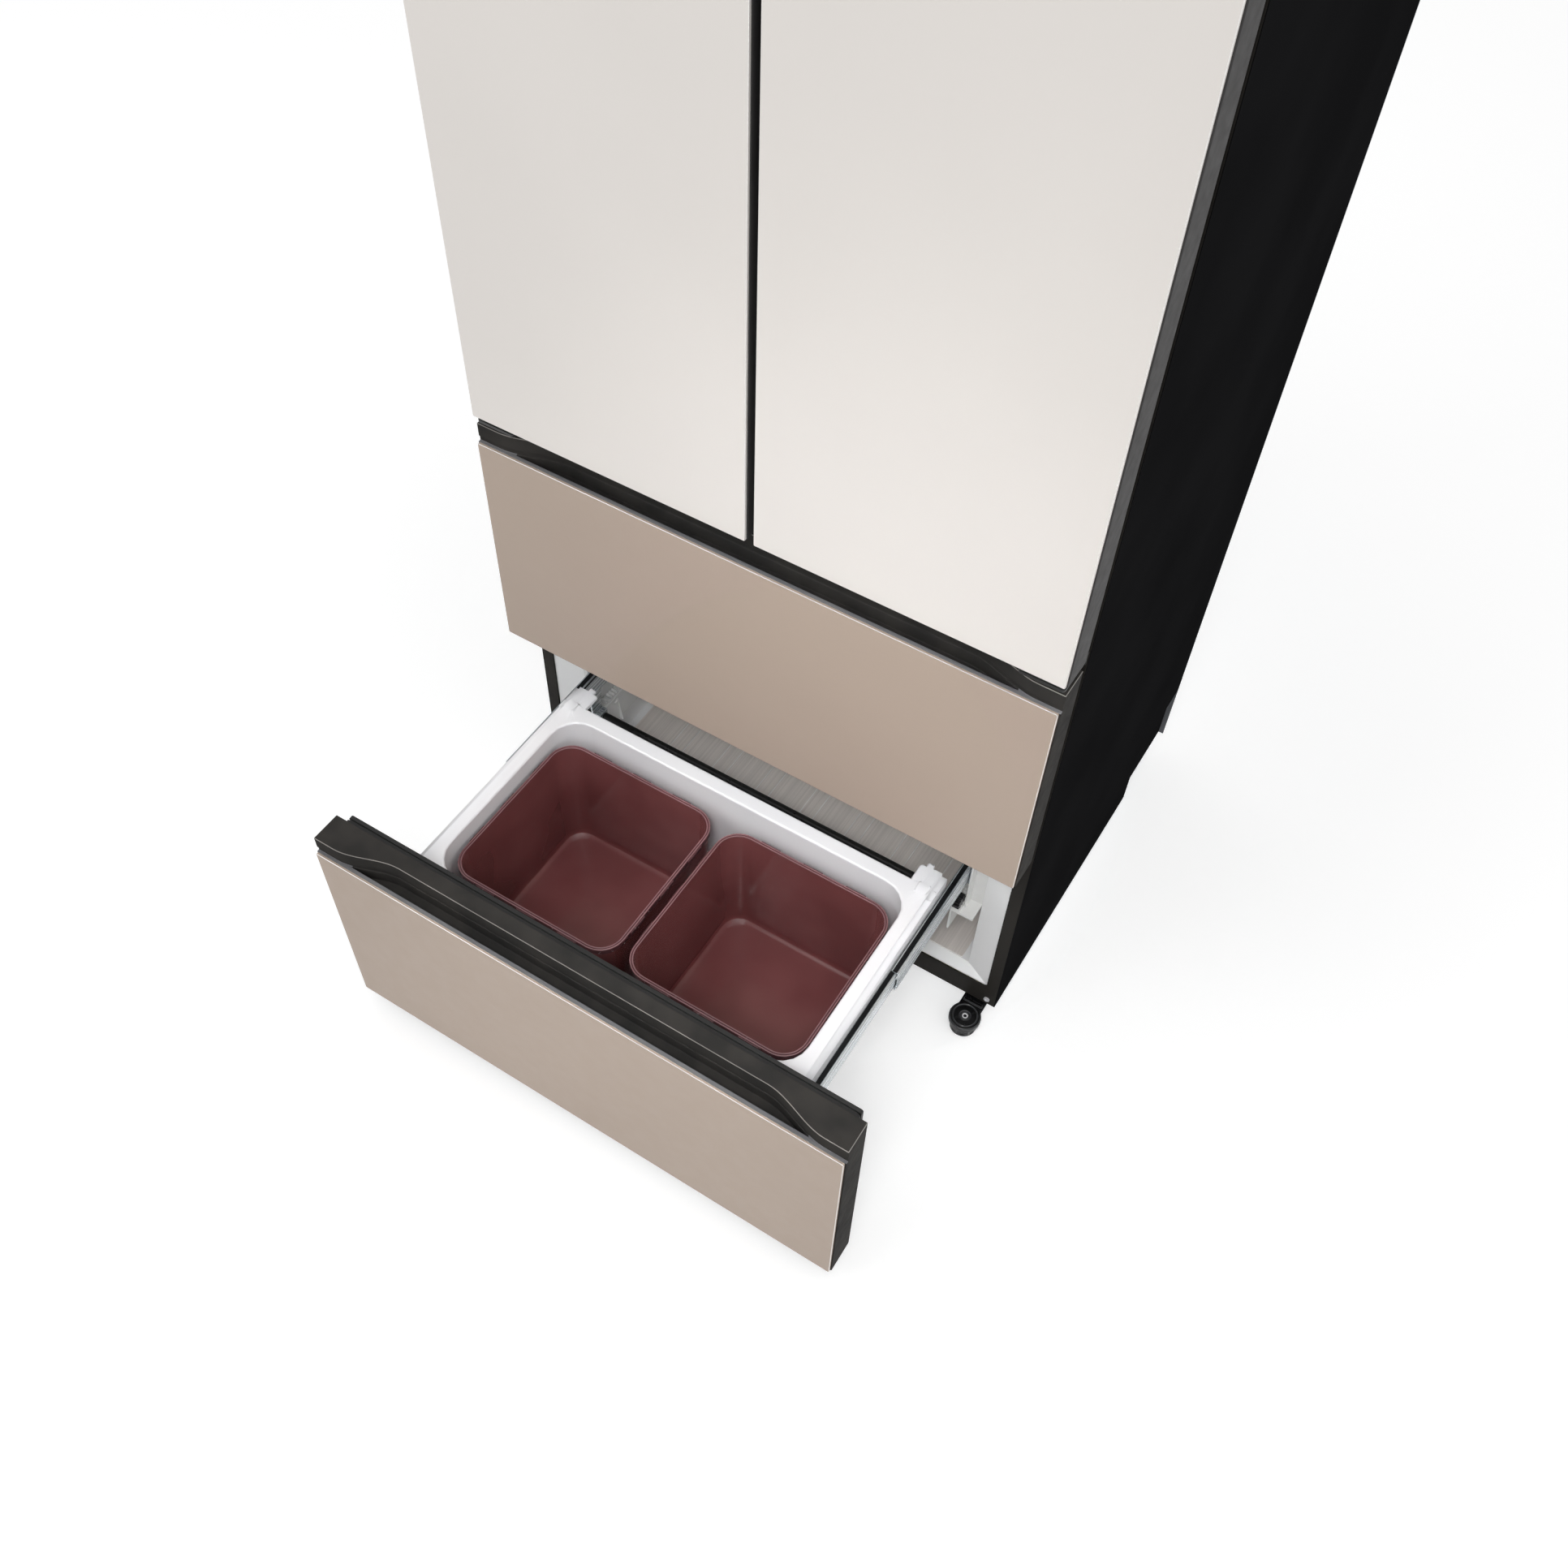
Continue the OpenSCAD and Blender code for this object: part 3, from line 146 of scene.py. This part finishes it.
def make_light():
    """Plain studio light: an even white room, three soft lamps and one into the open room."""
    world = bpy.data.worlds.new("studio")
    bpy.context.scene.world = world
    world.use_nodes = True
    background = world.node_tree.nodes["Background"]
    background.inputs["Color"].default_value = (1, 1, 1, 1)
    background.inputs["Strength"].default_value = ROOM_LIGHT
    for name, place, target, size, power, spread in LAMPS:
        bpy.ops.object.light_add(type="AREA", location=place)
        lamp = bpy.context.object
        lamp.name = name
        lamp.data.size = size
        lamp.data.energy = power
        lamp.data.spread = math.radians(spread)
        aim = Vector(target) - Vector(place)
        lamp.rotation_euler = aim.to_track_quat("-Z", "Y").to_euler()


# ---- finishes ----

def display(red, green, blue):
    """Scene-linear colour of a display colour given from 0 to 255."""
    def linear(level):
        share = level / 255
        return share / 12.92 if share <= 0.04045 else ((share + 0.055) / 1.055) ** 2.4
    return (linear(red), linear(green), linear(blue), 1)


def finish(name, colour, roughness, **sockets):
    """Principled finish with its constant sockets set; the colour is a display colour."""
    material = bpy.data.materials.new(name)
    material.use_nodes = True
    shader = material.node_tree.nodes["Principled BSDF"]
    shader.inputs["Base Color"].default_value = display(*colour)
    shader.inputs["Roughness"].default_value = roughness
    for socket, value in sockets.items():
        shader.inputs[socket.replace("_", " ")].default_value = value
    return material


def grain(material, size, stretch=(1, 1, 1), detail=2):
    """Noise in the piece's own coordinates; size is the grain's in metres."""
    tree = material.node_tree
    place = tree.nodes.new("ShaderNodeTexCoord")
    mapping = tree.nodes.new("ShaderNodeMapping")
    mapping.inputs["Scale"].default_value = [share / size for share in stretch]
    noise = tree.nodes.new("ShaderNodeTexNoise")
    noise.inputs["Scale"].default_value = 1
    noise.inputs["Detail"].default_value = detail
    tree.links.new(place.outputs["Object"], mapping.inputs["Vector"])
    tree.links.new(mapping.outputs["Vector"], noise.inputs["Vector"])
    return noise.outputs["Fac"]


def add_bump(material, field, depth):
    """Raises the surface by a field, up to a depth in metres."""
    tree = material.node_tree
    bump = tree.nodes.new("ShaderNodeBump")
    bump.inputs["Strength"].default_value = 1
    bump.inputs["Distance"].default_value = depth
    tree.links.new(field, bump.inputs["Height"])
    tree.links.new(bump.outputs["Normal"], tree.nodes["Principled BSDF"].inputs["Normal"])


# the part of a noise's range that is spread over the roughness or the colours
ROUGHNESS_BAND = (0.3, 0.7)
COLOUR_BAND = (0.35, 0.65)


def vary_roughness(material, field, low, high):
    """Spreads the roughness between two values by a field."""
    tree = material.node_tree
    spread = tree.nodes.new("ShaderNodeMapRange")
    spread.inputs["From Min"].default_value = ROUGHNESS_BAND[0]
    spread.inputs["From Max"].default_value = ROUGHNESS_BAND[1]
    spread.inputs["To Min"].default_value = low
    spread.inputs["To Max"].default_value = high
    tree.links.new(field, spread.inputs["Value"])
    tree.links.new(spread.outputs["Result"], tree.nodes["Principled BSDF"].inputs["Roughness"])


def vary_colour(material, field, *colours):
    """Blends two display colours by a field."""
    tree = material.node_tree
    ramp = tree.nodes.new("ShaderNodeValToRGB")
    for stop, position, colour in zip(ramp.color_ramp.elements, COLOUR_BAND, colours):
        stop.position = position
        stop.color = display(*colour)
    tree.links.new(field, ramp.inputs["Fac"])
    tree.links.new(ramp.outputs["Color"], tree.nodes["Principled BSDF"].inputs["Base Color"])


def coated_panel(name, light, dark, roughness):
    """Matt coated steel front: a fine sprayed texture and a faint drift of colour."""
    material = finish(name, light, roughness, Specular_IOR_Level=0.4)
    vary_colour(material, grain(material, 0.35), light, dark)
    add_bump(material, grain(material, 0.0006, detail=3), 0.00002)
    vary_roughness(material, grain(material, 0.02), roughness - 0.04, roughness + 0.04)
    return material


def moulded_plastic(name, light, dark, roughness, texture=0.00004, **sockets):
    """Spark-textured moulded plastic."""
    material = finish(name, light, roughness, **sockets)
    vary_colour(material, grain(material, 0.05), light, dark)
    add_bump(material, grain(material, 0.0008, detail=4), texture)
    vary_roughness(material, grain(material, 0.012), roughness - 0.05, roughness + 0.05)
    return material


def glossy_plastic(name, light, dark, roughness, **sockets):
    """Smooth injection-moulded plastic with the slight waviness of its cooling."""
    material = finish(name, light, roughness, **sockets)
    vary_colour(material, grain(material, 0.12), light, dark)
    add_bump(material, grain(material, 0.03, detail=1), 0.00006)
    vary_roughness(material, grain(material, 0.006), roughness - 0.04, roughness + 0.04)
    return material


def brushed_metal(name, light, dark, roughness, along, line=0.0004, metallic=1.0):
    """Metal with fine lines along one axis."""
    material = finish(name, light, roughness, Metallic=metallic)
    stretch = [0.012 if axis == along else 1 for axis in "xyz"]
    lines = grain(material, line, stretch, detail=3)
    vary_colour(material, grain(material, line * 8, stretch), light, dark)
    add_bump(material, lines, 0.000012)
    vary_roughness(material, lines, roughness - 0.08, roughness + 0.1)
    return material


def painted_steel(name, light, dark, roughness, peel=0.00003, **sockets):
    """Satin paint with a slight orange peel."""
    material = finish(name, light, roughness, **sockets)
    vary_colour(material, grain(material, 0.2), light, dark)
    add_bump(material, grain(material, 0.0025, detail=2), peel)
    vary_roughness(material, grain(material, 0.01), roughness - 0.04, roughness + 0.05)
    return material


# name, two display colours, roughness, then a plastic's or paint's texture depth in metres,
# or a metal's axis of lines, the width of its lines in metres and its metallic share
FINISHES = {
    "cream_panel": coated_panel("cream_coated_steel", (237, 232, 227), (234, 229, 224), 0.42),
    "clay_panel": coated_panel("clay_coated_steel", (183, 166, 152), (179, 162, 148), 0.5),
    "side_steel": painted_steel("charcoal_side_paint", (30, 30, 31), (26, 26, 27), 0.5, 0.00001,
                                Specular_IOR_Level=0),
    "frame_dark": painted_steel("brown_black_frame_paint", (50, 48, 45), (40, 38, 36), 0.42,
                                Specular_IOR_Level=0.03),
    "cap_plastic": moulded_plastic("charcoal_handle_plastic", (62, 60, 58), (52, 51, 50), 0.44,
                                   Specular_IOR_Level=0.0025),
    "trim_plastic": moulded_plastic("charcoal_trim_plastic", (76, 75, 75), (70, 69, 69), 0.42,
                                    Specular_IOR_Level=0.02),
    "white_tray": glossy_plastic("white_tray_plastic", (243, 243, 245), (239, 239, 242), 0.22),
    "white_liner": glossy_plastic("white_liner_plastic", (246, 246, 246), (243, 243, 243), 0.34),
    "maroon_bin": glossy_plastic("maroon_translucent_plastic", (152, 92, 92), (136, 78, 78), 0.16,
                                 Transmission_Weight=0.4, IOR=1.45),
    "clear_bin": glossy_plastic("clear_door_bin_plastic", (226, 236, 240), (220, 232, 238), 0.12,
                                Transmission_Weight=0.85, IOR=1.47),
    "shelf_glass": glossy_plastic("tempered_shelf_glass", (222, 238, 236), (218, 236, 233), 0.06,
                                  Transmission_Weight=0.9, IOR=1.5),
    "brushed_plate": brushed_metal("brushed_floor_steel", (236, 229, 223), (222, 215, 209), 0.4,
                                   "y", metallic=0.15),
    "slide_steel": brushed_metal("zinc_slide_steel", (196, 202, 205), (186, 192, 196), 0.26, "y",
                                 0.002, 0.55),
    "zinc_sheet": brushed_metal("galvanised_sheet", (173, 176, 179), (168, 171, 174), 0.46, "z",
                                0.0008),
    "screw_chrome": brushed_metal("bright_screw_steel", (244, 244, 246), (232, 232, 236), 0.2,
                                  "z", 0.0006, 0.4),
    "gasket_black": moulded_plastic("black_gasket_rubber", (24, 24, 24), (18, 18, 18), 0.55,
                                    0.00002),
    "rack_plastic": moulded_plastic("white_rack_plastic", (222, 222, 220), (214, 214, 213), 0.36,
                                    0.00002),
    "shaft_black": painted_steel("black_shaft_coating", (20, 20, 20), (14, 14, 14), 0.3),
    "hinge_black": painted_steel("black_hinge_paint", (42, 41, 41), (34, 34, 34), 0.38),
    "machine_black": painted_steel("black_machine_enamel", (34, 34, 36), (26, 26, 28), 0.3),
    "fan_plastic": moulded_plastic("dark_fan_plastic", (58, 59, 62), (52, 53, 56), 0.5),
    "cover_grey": painted_steel("grey_cover_paint", (98, 100, 104), (90, 92, 96), 0.5),
    "foot_black": moulded_plastic("black_foot_plastic", (20, 20, 21), (15, 15, 16), 0.24,
                                  0.000006, Specular_IOR_Level=0.2),
    "roller_plastic": moulded_plastic("dark_roller_plastic", (56, 56, 58), (48, 48, 50), 0.5),
    "foam": moulded_plastic("cream_insulating_foam", (238, 228, 190), (226, 212, 168), 0.9,
                            0.0006),
}

# finishes of a node's rounded edges and of the faces that chosen_faces picks; most paint light on
# edges, ledge, seams and rims, and shade under panels and on slide strips
# painted highlight: a light, part-metallic finish on the panels' rounded edges for the glint
# along them
PANEL_EDGE_GLINT = brushed_metal("painted_glint_panel_edge", (240, 238, 235), (228, 226, 223), 0.16, "x",
                           metallic=0.6)
# painted shadow: a dark finish on a drawer panel's bottom faces for the shadow line under it
PANEL_FOOT_SHADE = painted_steel("dark_panel_foot", (34, 32, 31), (26, 25, 24), 0.5)
# painted highlight: a light finish on the front edges of the handle cap's top for their glint
CASE_EDGE_GLINT = moulded_plastic("painted_glint_handle_edge", (150, 145, 140), (128, 124, 120), 0.3, 0.00001,
                            Specular_IOR_Level=0.3)
# painted light: a lighter grey on the up-facing ledge behind each drawer panel, a part of the
# same charcoal case
CASE_LEDGE_LIGHT = moulded_plastic("painted_light_handle_ledge", (122, 122, 124), (110, 110, 113), 0.36, 0.00002,
                             Specular_IOR_Level=0.02)
# painted highlight: grey on the black foot brackets' rounded edges for their glints
FOOT_EDGE_GLINT = moulded_plastic("painted_glint_foot_edge", (66, 67, 69), (50, 51, 53), 0.2, 0.000006)
# painted shade: black on the slide members' raised strips for the dark gaps between the members
SLIDE_GAP_SHADE = moulded_plastic("painted_shade_slide_strip", (26, 27, 28), (18, 19, 20), 0.4, 0.00001,
                              Specular_IOR_Level=0.1)
# painted highlight: a lighter maroon on the rim beads for the glint on their rounded edges
RIM_BEAD_GLINT = glossy_plastic("painted_glint_maroon_rim", (150, 108, 112), (136, 96, 100), 0.12)
# painted highlight: near-white in the floor plate's seam grooves for the light lines along them
PLATE_SEAM_LIGHT = brushed_metal("painted_light_plate_seam", (250, 249, 247), (244, 243, 241), 0.3, "y",
                           metallic=0.1)
RIM_TOP = glossy_plastic("dark_rim_plastic", (92, 58, 62), (82, 50, 54), 0.24)


# ---- modelling helpers ----

def deselect():
    """Leaves edit mode with nothing selected."""
    if bpy.context.object is not None and bpy.context.object.mode != "OBJECT":
        bpy.ops.object.mode_set(mode="OBJECT")
    bpy.ops.object.select_all(action="DESELECT")


def take(piece):
    """Makes one piece active and selected."""
    deselect()
    bpy.context.view_layer.objects.active = piece
    piece.select_set(True)


def apply_modifier(piece, kind, **settings):
    """Adds a modifier, sets it and applies it."""
    take(piece)
    modifier = piece.modifiers.new(kind.lower(), kind)
    for key, value in settings.items():
        setattr(modifier, key, value)
    bpy.ops.object.modifier_apply(modifier=modifier.name)


SMOOTH_ANGLE = math.radians(40)
BEVEL_ANGLE = math.radians(32)
FOLD_ANGLE = math.radians(20)
MERGE_GAP = 0.02 * MM


def smooth(piece):
    """Shades curves smooth and keeps the flat faces flat to the light."""
    take(piece)
    bpy.ops.object.shade_smooth_by_angle(angle=SMOOTH_ANGLE)
    apply_modifier(piece, "WEIGHTED_NORMAL", keep_sharp=True)


def round_edges(piece, width, finish_index=-1):
    """Rounds the sharp edges, which take the finish of that index; -1 keeps their own."""
    apply_modifier(piece, "BEVEL", width=width, segments=2, limit_method="ANGLE",
                   angle_limit=BEVEL_ANGLE, use_clamp_overlap=False,
                   miter_outer="MITER_ARC", loop_slide=False, material=finish_index)
    smooth(piece)


def round_chosen(piece, test, radius, segments):
    """Rounds the folded edges that a test of their two ends picks."""
    take(piece)
    bpy.context.tool_settings.mesh_select_mode = (False, True, False)
    bpy.ops.object.mode_set(mode="EDIT")
    bpy.ops.mesh.select_all(action="DESELECT")
    shape = bmesh.from_edit_mesh(piece.data)
    for edge in shape.edges:
        if len(edge.link_faces) == 2 and edge.calc_face_angle() > FOLD_ANGLE:
            edge.select_set(all(test(vertex.co) for vertex in edge.verts))
    bmesh.update_edit_mesh(piece.data)
    bpy.ops.mesh.bevel(offset=radius, segments=segments, affect="EDGES", loop_slide=False,
                       clamp_overlap=False)
    bpy.ops.object.mode_set(mode="OBJECT")


def merged_copy(node):
    """Copy of a CAD node as one closed mesh."""
    deselect()
    piece = cad[node].copy()
    piece.data = cad[node].data.copy()
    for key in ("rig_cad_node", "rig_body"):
        del piece[key]
    piece.parent = None
    piece.name = node + "_finished"
    bpy.context.scene.collection.objects.link(piece)
    take(piece)
    bpy.ops.object.mode_set(mode="EDIT")
    bpy.ops.mesh.select_all(action="SELECT")
    bpy.ops.mesh.remove_doubles(threshold=MERGE_GAP)
    bpy.ops.object.mode_set(mode="OBJECT")
    return piece


def further_finishes(node):
    """Finishes a node has besides its own: that of its rounded edges comes first."""
    if node.endswith("_panel") and node != "back_panel":
        return [PANEL_EDGE_GLINT, PANEL_FOOT_SHADE]
    if node.endswith("drawer_case"):
        return [CASE_EDGE_GLINT, CASE_LEDGE_LIGHT]
    if node == "lower_floor_plate":
        return [FINISHES["brushed_plate"], PLATE_SEAM_LIGHT]
    if node.endswith(("inner_slides", "mid_slides")):
        return [FINISHES["slide_steel"], SLIDE_GAP_SHADE]
    if node in BINS:
        return [FINISHES["maroon_bin"], RIM_TOP]
    return [FOOT_EDGE_GLINT] if node == "foot_brackets" else []


def coat(piece, node):
    """Gives a piece its node's finish and its further ones."""
    piece.data.materials.clear()
    for material in [FINISHES[slot_of[node]]] + further_finishes(node):
        piece.data.materials.append(material)


def finish_faces(piece, finish_index, test):
    """Gives one of a piece's finishes to the faces that a test picks by place and normal."""
    for face in piece.data.polygons:
        if test(face.center, face.normal):
            face.material_index = finish_index


def dress(piece, node):
    """Puts a finished piece on its node's body and lets it stand for the node."""
    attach(piece, body_of[node])
    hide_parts(node)


# ---- pieces whose form is the construction's, with rounded edges ----

# radius of each node's edges in mm; a node with 0 keeps its own mesh, or is a tray
EDGE_RADIUS = {
    "cabinet_shell": 0.5, "back_panel": 0.5, "base_pan": 0.4, "upper_left_liner": 0,
    "upper_right_liner": 0, "middle_liner": 0, "lower_liner": 0, "front_frame": 0.6,
    "lower_floor_plate": 0.2, "upper_shelves": 0.15, "top_hinges": 0.17, "centre_hinges": 0.1,
    "hinge_covers": 0.25, "compressor": 0.8, "condenser": 0, "fan_motor": 0.5,
    "condenser_fan": 0.2, "machine_cover": 0.5, "foot_brackets": 0.8, "frame_screws": 0.2,
    "left_foot": 0.4, "right_foot": 0.4, "left_roller": 0.6, "right_roller": 0.6,
    "left_door_panel": 0.7, "right_door_panel": 0.7, "lower_drawer_panel": 0.7,
    "middle_drawer_panel": 0.7, "left_door_case": 0.8, "right_door_case": 0.8,
    "lower_drawer_case": 0.8, "middle_drawer_case": 0.8, "left_door_liner": 1.2,
    "right_door_liner": 1.2, "left_door_bins": 0.6, "right_door_bins": 0.6,
    "left_door_gasket": 0.5, "right_door_gasket": 0.5, "lower_drawer_gasket": 0.5,
    "middle_drawer_gasket": 0.5, "lower_tray": 0, "middle_tray": 0,
    "lower_left_bin": 0.4, "lower_right_bin": 0.4, "middle_bins": 0.4,
    "lower_inner_slides": 0.25, "lower_mid_slides": 0.25, "lower_outer_slides": 0.25,
    "middle_inner_slides": 0.25, "middle_mid_slides": 0.25, "middle_outer_slides": 0.25,
    "lower_racks": 0.25, "middle_racks": 0.25, "lower_sync_shaft": 0.2,
    "middle_sync_shaft": 0.2,
}
BINS = ("lower_left_bin", "lower_right_bin", "middle_bins")

TRAY_INNER = 277 * MM
CLIP_RISE = 3.5 * MM
MOUTH_RADIUS = 3 * MM
MOUTH_SEGMENTS = 5
TOUCH = 0.3 * MM


def near(value, place, reach=TOUCH):
    """True where a value lies at a place."""
    return abs(value - place) < reach


def tray_mouth(level):
    """Test for the edge of a tray's opening, at the height of its flange."""
    return lambda point: near(point.z, level) and abs(point.x) < TRAY_INNER + TOUCH


SLIDE_DROP = 57 * MM
SLIDE_HEIGHT = 29 * MM
SLIDE_NEST = 4 * MM
SLIDE_WIDTH = 16 * MM
STRIP_PROUD = 0.4 * MM
STRIP_SPAN = (0.8 * MM, 11 * MM)


def strip_test(node):
    """Test for the raised strips on a slide member's top and underside, which take painted shade.
    """
    drawer = node.split("_")[0]
    nest = SLIDE_NEST if "mid" in node else 0
    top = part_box(drawer + "_drawer_panel")[1][2] - SLIDE_DROP + nest
    bottom = top - SLIDE_HEIGHT - 2 * nest
    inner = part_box(drawer + "_outer_slides")[1][0] - SLIDE_WIDTH

    def test(place, _):
        beyond = place.z > top + STRIP_PROUD or place.z < bottom - STRIP_PROUD
        return beyond and inner + STRIP_SPAN[0] < abs(place.x) < inner + STRIP_SPAN[1]
    return test


# how far the picked faces reach, and how far a normal leans to face that way
PANEL_SHADE_HEIGHT = 1 * MM
LEDGE_REACH = 1 * MM
LEDGE_DEPTH = 6 * MM
SEAM_DEPTH = 0.6 * MM
SEAM_REACH = 0.45 * MM
RIM_HEIGHT = 9 * MM
FACING = 0.3


def chosen_faces(node):
    """Test for the faces of a node that take its last finish."""
    low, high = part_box(node)
    if node.endswith("drawer_panel"):
        # painted shadow on the panel's bottom faces
        return lambda place, normal: place.z < low[2] + PANEL_SHADE_HEIGHT
    if node.endswith("drawer_case"):
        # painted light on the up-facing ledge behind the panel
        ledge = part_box(node.replace("case", "panel"))[1][2]
        front = low[1] + LEDGE_DEPTH
        return lambda place, normal: (near(place.z, ledge, LEDGE_REACH)
                                      and normal.z > FACING and place.y < front)
    if node == "lower_floor_plate":
        # painted highlight in the seam grooves
        groove = high[2] - SEAM_DEPTH
        return lambda place, normal: near(place.z, groove, SEAM_REACH) and normal.z > FACING
    if node.endswith(("inner_slides", "mid_slides")):
        return strip_test(node)
    if node in BINS:
        return lambda place, normal: place.z > high[2] - RIM_HEIGHT and normal.z > -0.5
    return None


# depth under the cap's top below which the painted edge highlight is taken off
CAP_LIP = 1.5 * MM


def finish_construction():
    """Every node takes its finish; the trays get a round mouth, other nodes round edges."""
    for node, radius in EDGE_RADIUS.items():
        is_tray = node.endswith("_tray")
        if radius == 0 and not is_tray:
            continue
        piece = merged_copy(node)
        coat(piece, node)
        if is_tray:
            mouth = tray_mouth(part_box(node)[1][2] - CLIP_RISE)
            round_chosen(piece, mouth, MOUTH_RADIUS, MOUTH_SEGMENTS)
            smooth(piece)
        else:
            # panels, handle cases and feet take a painted edge highlight here; other nodes with
            # further finishes take their own finish again
            edge_slot = 1 if further_finishes(node) else -1
            round_edges(piece, radius * MM, finish_index=edge_slot)
        # the painted edge highlight stays only on the front-facing edges of the cap's top; the
        # case's other edges take its own finish
        if node.endswith("drawer_case"):
            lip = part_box(node)[1][2] - CAP_LIP
            finish_faces(piece, 0, lambda place, normal: place.z < lip or normal.y > FACING)
        pick = chosen_faces(node)
        if pick is not None:
            finish_faces(piece, 2, pick)
        dress(piece, node)
    for node, piece in cad.items():
        piece.data.materials.clear()
        piece.data.materials.append(FINISHES[slot_of[node]])


# ---- pieces modelled by hand over the construction ----

# a bin's inner side, from the middle of the drawer, its corners and the lines on its rim
BIN_INNER_SIDE = 6 * MM
RIM_CORNER = 38 * MM
BEAD_INSETS = (2 * MM, 5.2 * MM)
BEAD_WIDTH = 1.5 * MM
BEAD_RISE = 1.3 * MM
BEAD_SINK = 0.2 * MM
BEAD_ROUND = 0.5 * MM
CORNER_SEGMENTS = 10


def rim_bead(name, low, high, corner):
    """Raised ring: a plane with round corners, inset, opened, drawn up and rounded."""
    deselect()
    middle = [(a + b) / 2 for a, b in zip(low, high)]
    bpy.ops.mesh.primitive_plane_add(size=1, location=middle)
    bead = bpy.context.object
    bead.name = name
    bead.scale = (high[0] - low[0], high[1] - low[1], 1)
    bpy.ops.object.transform_apply(location=True, rotation=False, scale=True)
    bpy.ops.object.mode_set(mode="EDIT")
    bpy.ops.mesh.select_mode(type="FACE")
    bpy.ops.mesh.select_all(action="SELECT")
    bpy.ops.mesh.bevel(offset=corner, segments=CORNER_SEGMENTS, affect="VERTICES")
    bpy.ops.mesh.select_all(action="SELECT")
    bpy.ops.mesh.inset(thickness=BEAD_WIDTH, depth=0)
    bpy.ops.mesh.delete(type="FACE")
    bpy.ops.mesh.select_all(action="SELECT")
    bpy.ops.mesh.extrude_region_move(TRANSFORM_OT_translate={"value": (0, 0, BEAD_RISE)})
    bpy.ops.mesh.select_all(action="SELECT")
    bpy.ops.mesh.normals_make_consistent(inside=False)
    bpy.ops.object.mode_set(mode="OBJECT")
    # the bead's lighter maroon is a painted highlight
    bead.data.materials.append(RIM_BEAD_GLINT)
    round_edges(bead, BEAD_ROUND)
    return bead


def moved_copy(piece, name, move):
    """Copy of a piece with its own mesh, set off by the given way."""
    take(piece)
    bpy.ops.object.duplicate(linked=False)
    copy = bpy.context.object
    copy.name = name
    copy.location = move
    bpy.ops.object.transform_apply(location=True, rotation=False, scale=False)
    return copy


def add_rim_beads():
    """Two raised lines round the rim of each food bin: one bin's, and copies."""
    low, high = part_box("lower_right_bin")
    middle_low, middle_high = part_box("middle_bins")
    across = -(BIN_INNER_SIDE + high[0])
    back, up = middle_low[1] - low[1], middle_high[2] - high[2]
    level = high[2] - BEAD_SINK
    for ring, inset in enumerate(BEAD_INSETS):
        first = rim_bead("lower_bin_bead_2_%d" % ring,
                         (BIN_INNER_SIDE + inset, low[1] + inset, level),
                         (high[0] - inset, high[1] - inset, level), RIM_CORNER - inset)
        beads = [("lower", first)]
        for drawer, side, move in (("lower", 0, (across, 0, 0)), ("middle", 2, (0, back, up)),
                                   ("middle", 0, (across, back, up))):
            name = "%s_bin_bead_%d_%d" % (drawer, side, ring)
            beads.append((drawer, moved_copy(first, name, move)))
        for drawer, bead in beads:
            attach(bead, drawer + "_drawer")


STEM_RADIUS = 4.4 * MM
SCREW_HEIGHT = 1.6 * MM
SCREW_RIM = 1.6 * MM
SOCKET_SLOPE = 0.3 * MM
SOCKET_DEPTH = 0.9 * MM
SCREW_ROUND = 0.15 * MM


def top_middle(node):
    """Middle of the top of a node's box."""
    low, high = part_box(node)
    return Vector(((low[0] + high[0]) / 2, (low[1] + high[1]) / 2, high[2]))


def add_stem_screws():
    """Bright socket end in the top of each front foot's stem: one, and its copy."""
    place = top_middle("left_foot")
    deselect()
    bpy.ops.mesh.primitive_cylinder_add(vertices=32, radius=STEM_RADIUS, depth=SCREW_HEIGHT,
                                        location=place)
    screw = bpy.context.object
    screw.name = "left_stem_screw"
    bpy.ops.object.transform_apply(location=True, rotation=False, scale=False)
    bpy.ops.object.mode_set(mode="EDIT")
    bpy.ops.mesh.select_mode(type="FACE")
    bpy.ops.mesh.select_all(action="DESELECT")
    shape = bmesh.from_edit_mesh(screw.data)
    for face in shape.faces:
        face.select_set(face.normal.z > 0.9)
    bmesh.update_edit_mesh(screw.data)
    bpy.ops.mesh.inset(thickness=SCREW_RIM, depth=0)
    bpy.ops.mesh.inset(thickness=SOCKET_SLOPE, depth=-SOCKET_DEPTH)
    bpy.ops.object.mode_set(mode="OBJECT")
    screw.data.materials.append(FINISHES["screw_chrome"])
    round_edges(screw, SCREW_ROUND)
    other = moved_copy(screw, "right_stem_screw", top_middle("right_foot") - place)
    for side, piece in (("left", screw), ("right", other)):
        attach(piece, body_of[side + "_foot"])


# ---- the whole ----

finish_construction()
add_rim_beads()
add_stem_screws()
make_floor()
make_light()
make_camera()
bpy.context.scene.view_settings.view_transform = "Standard"
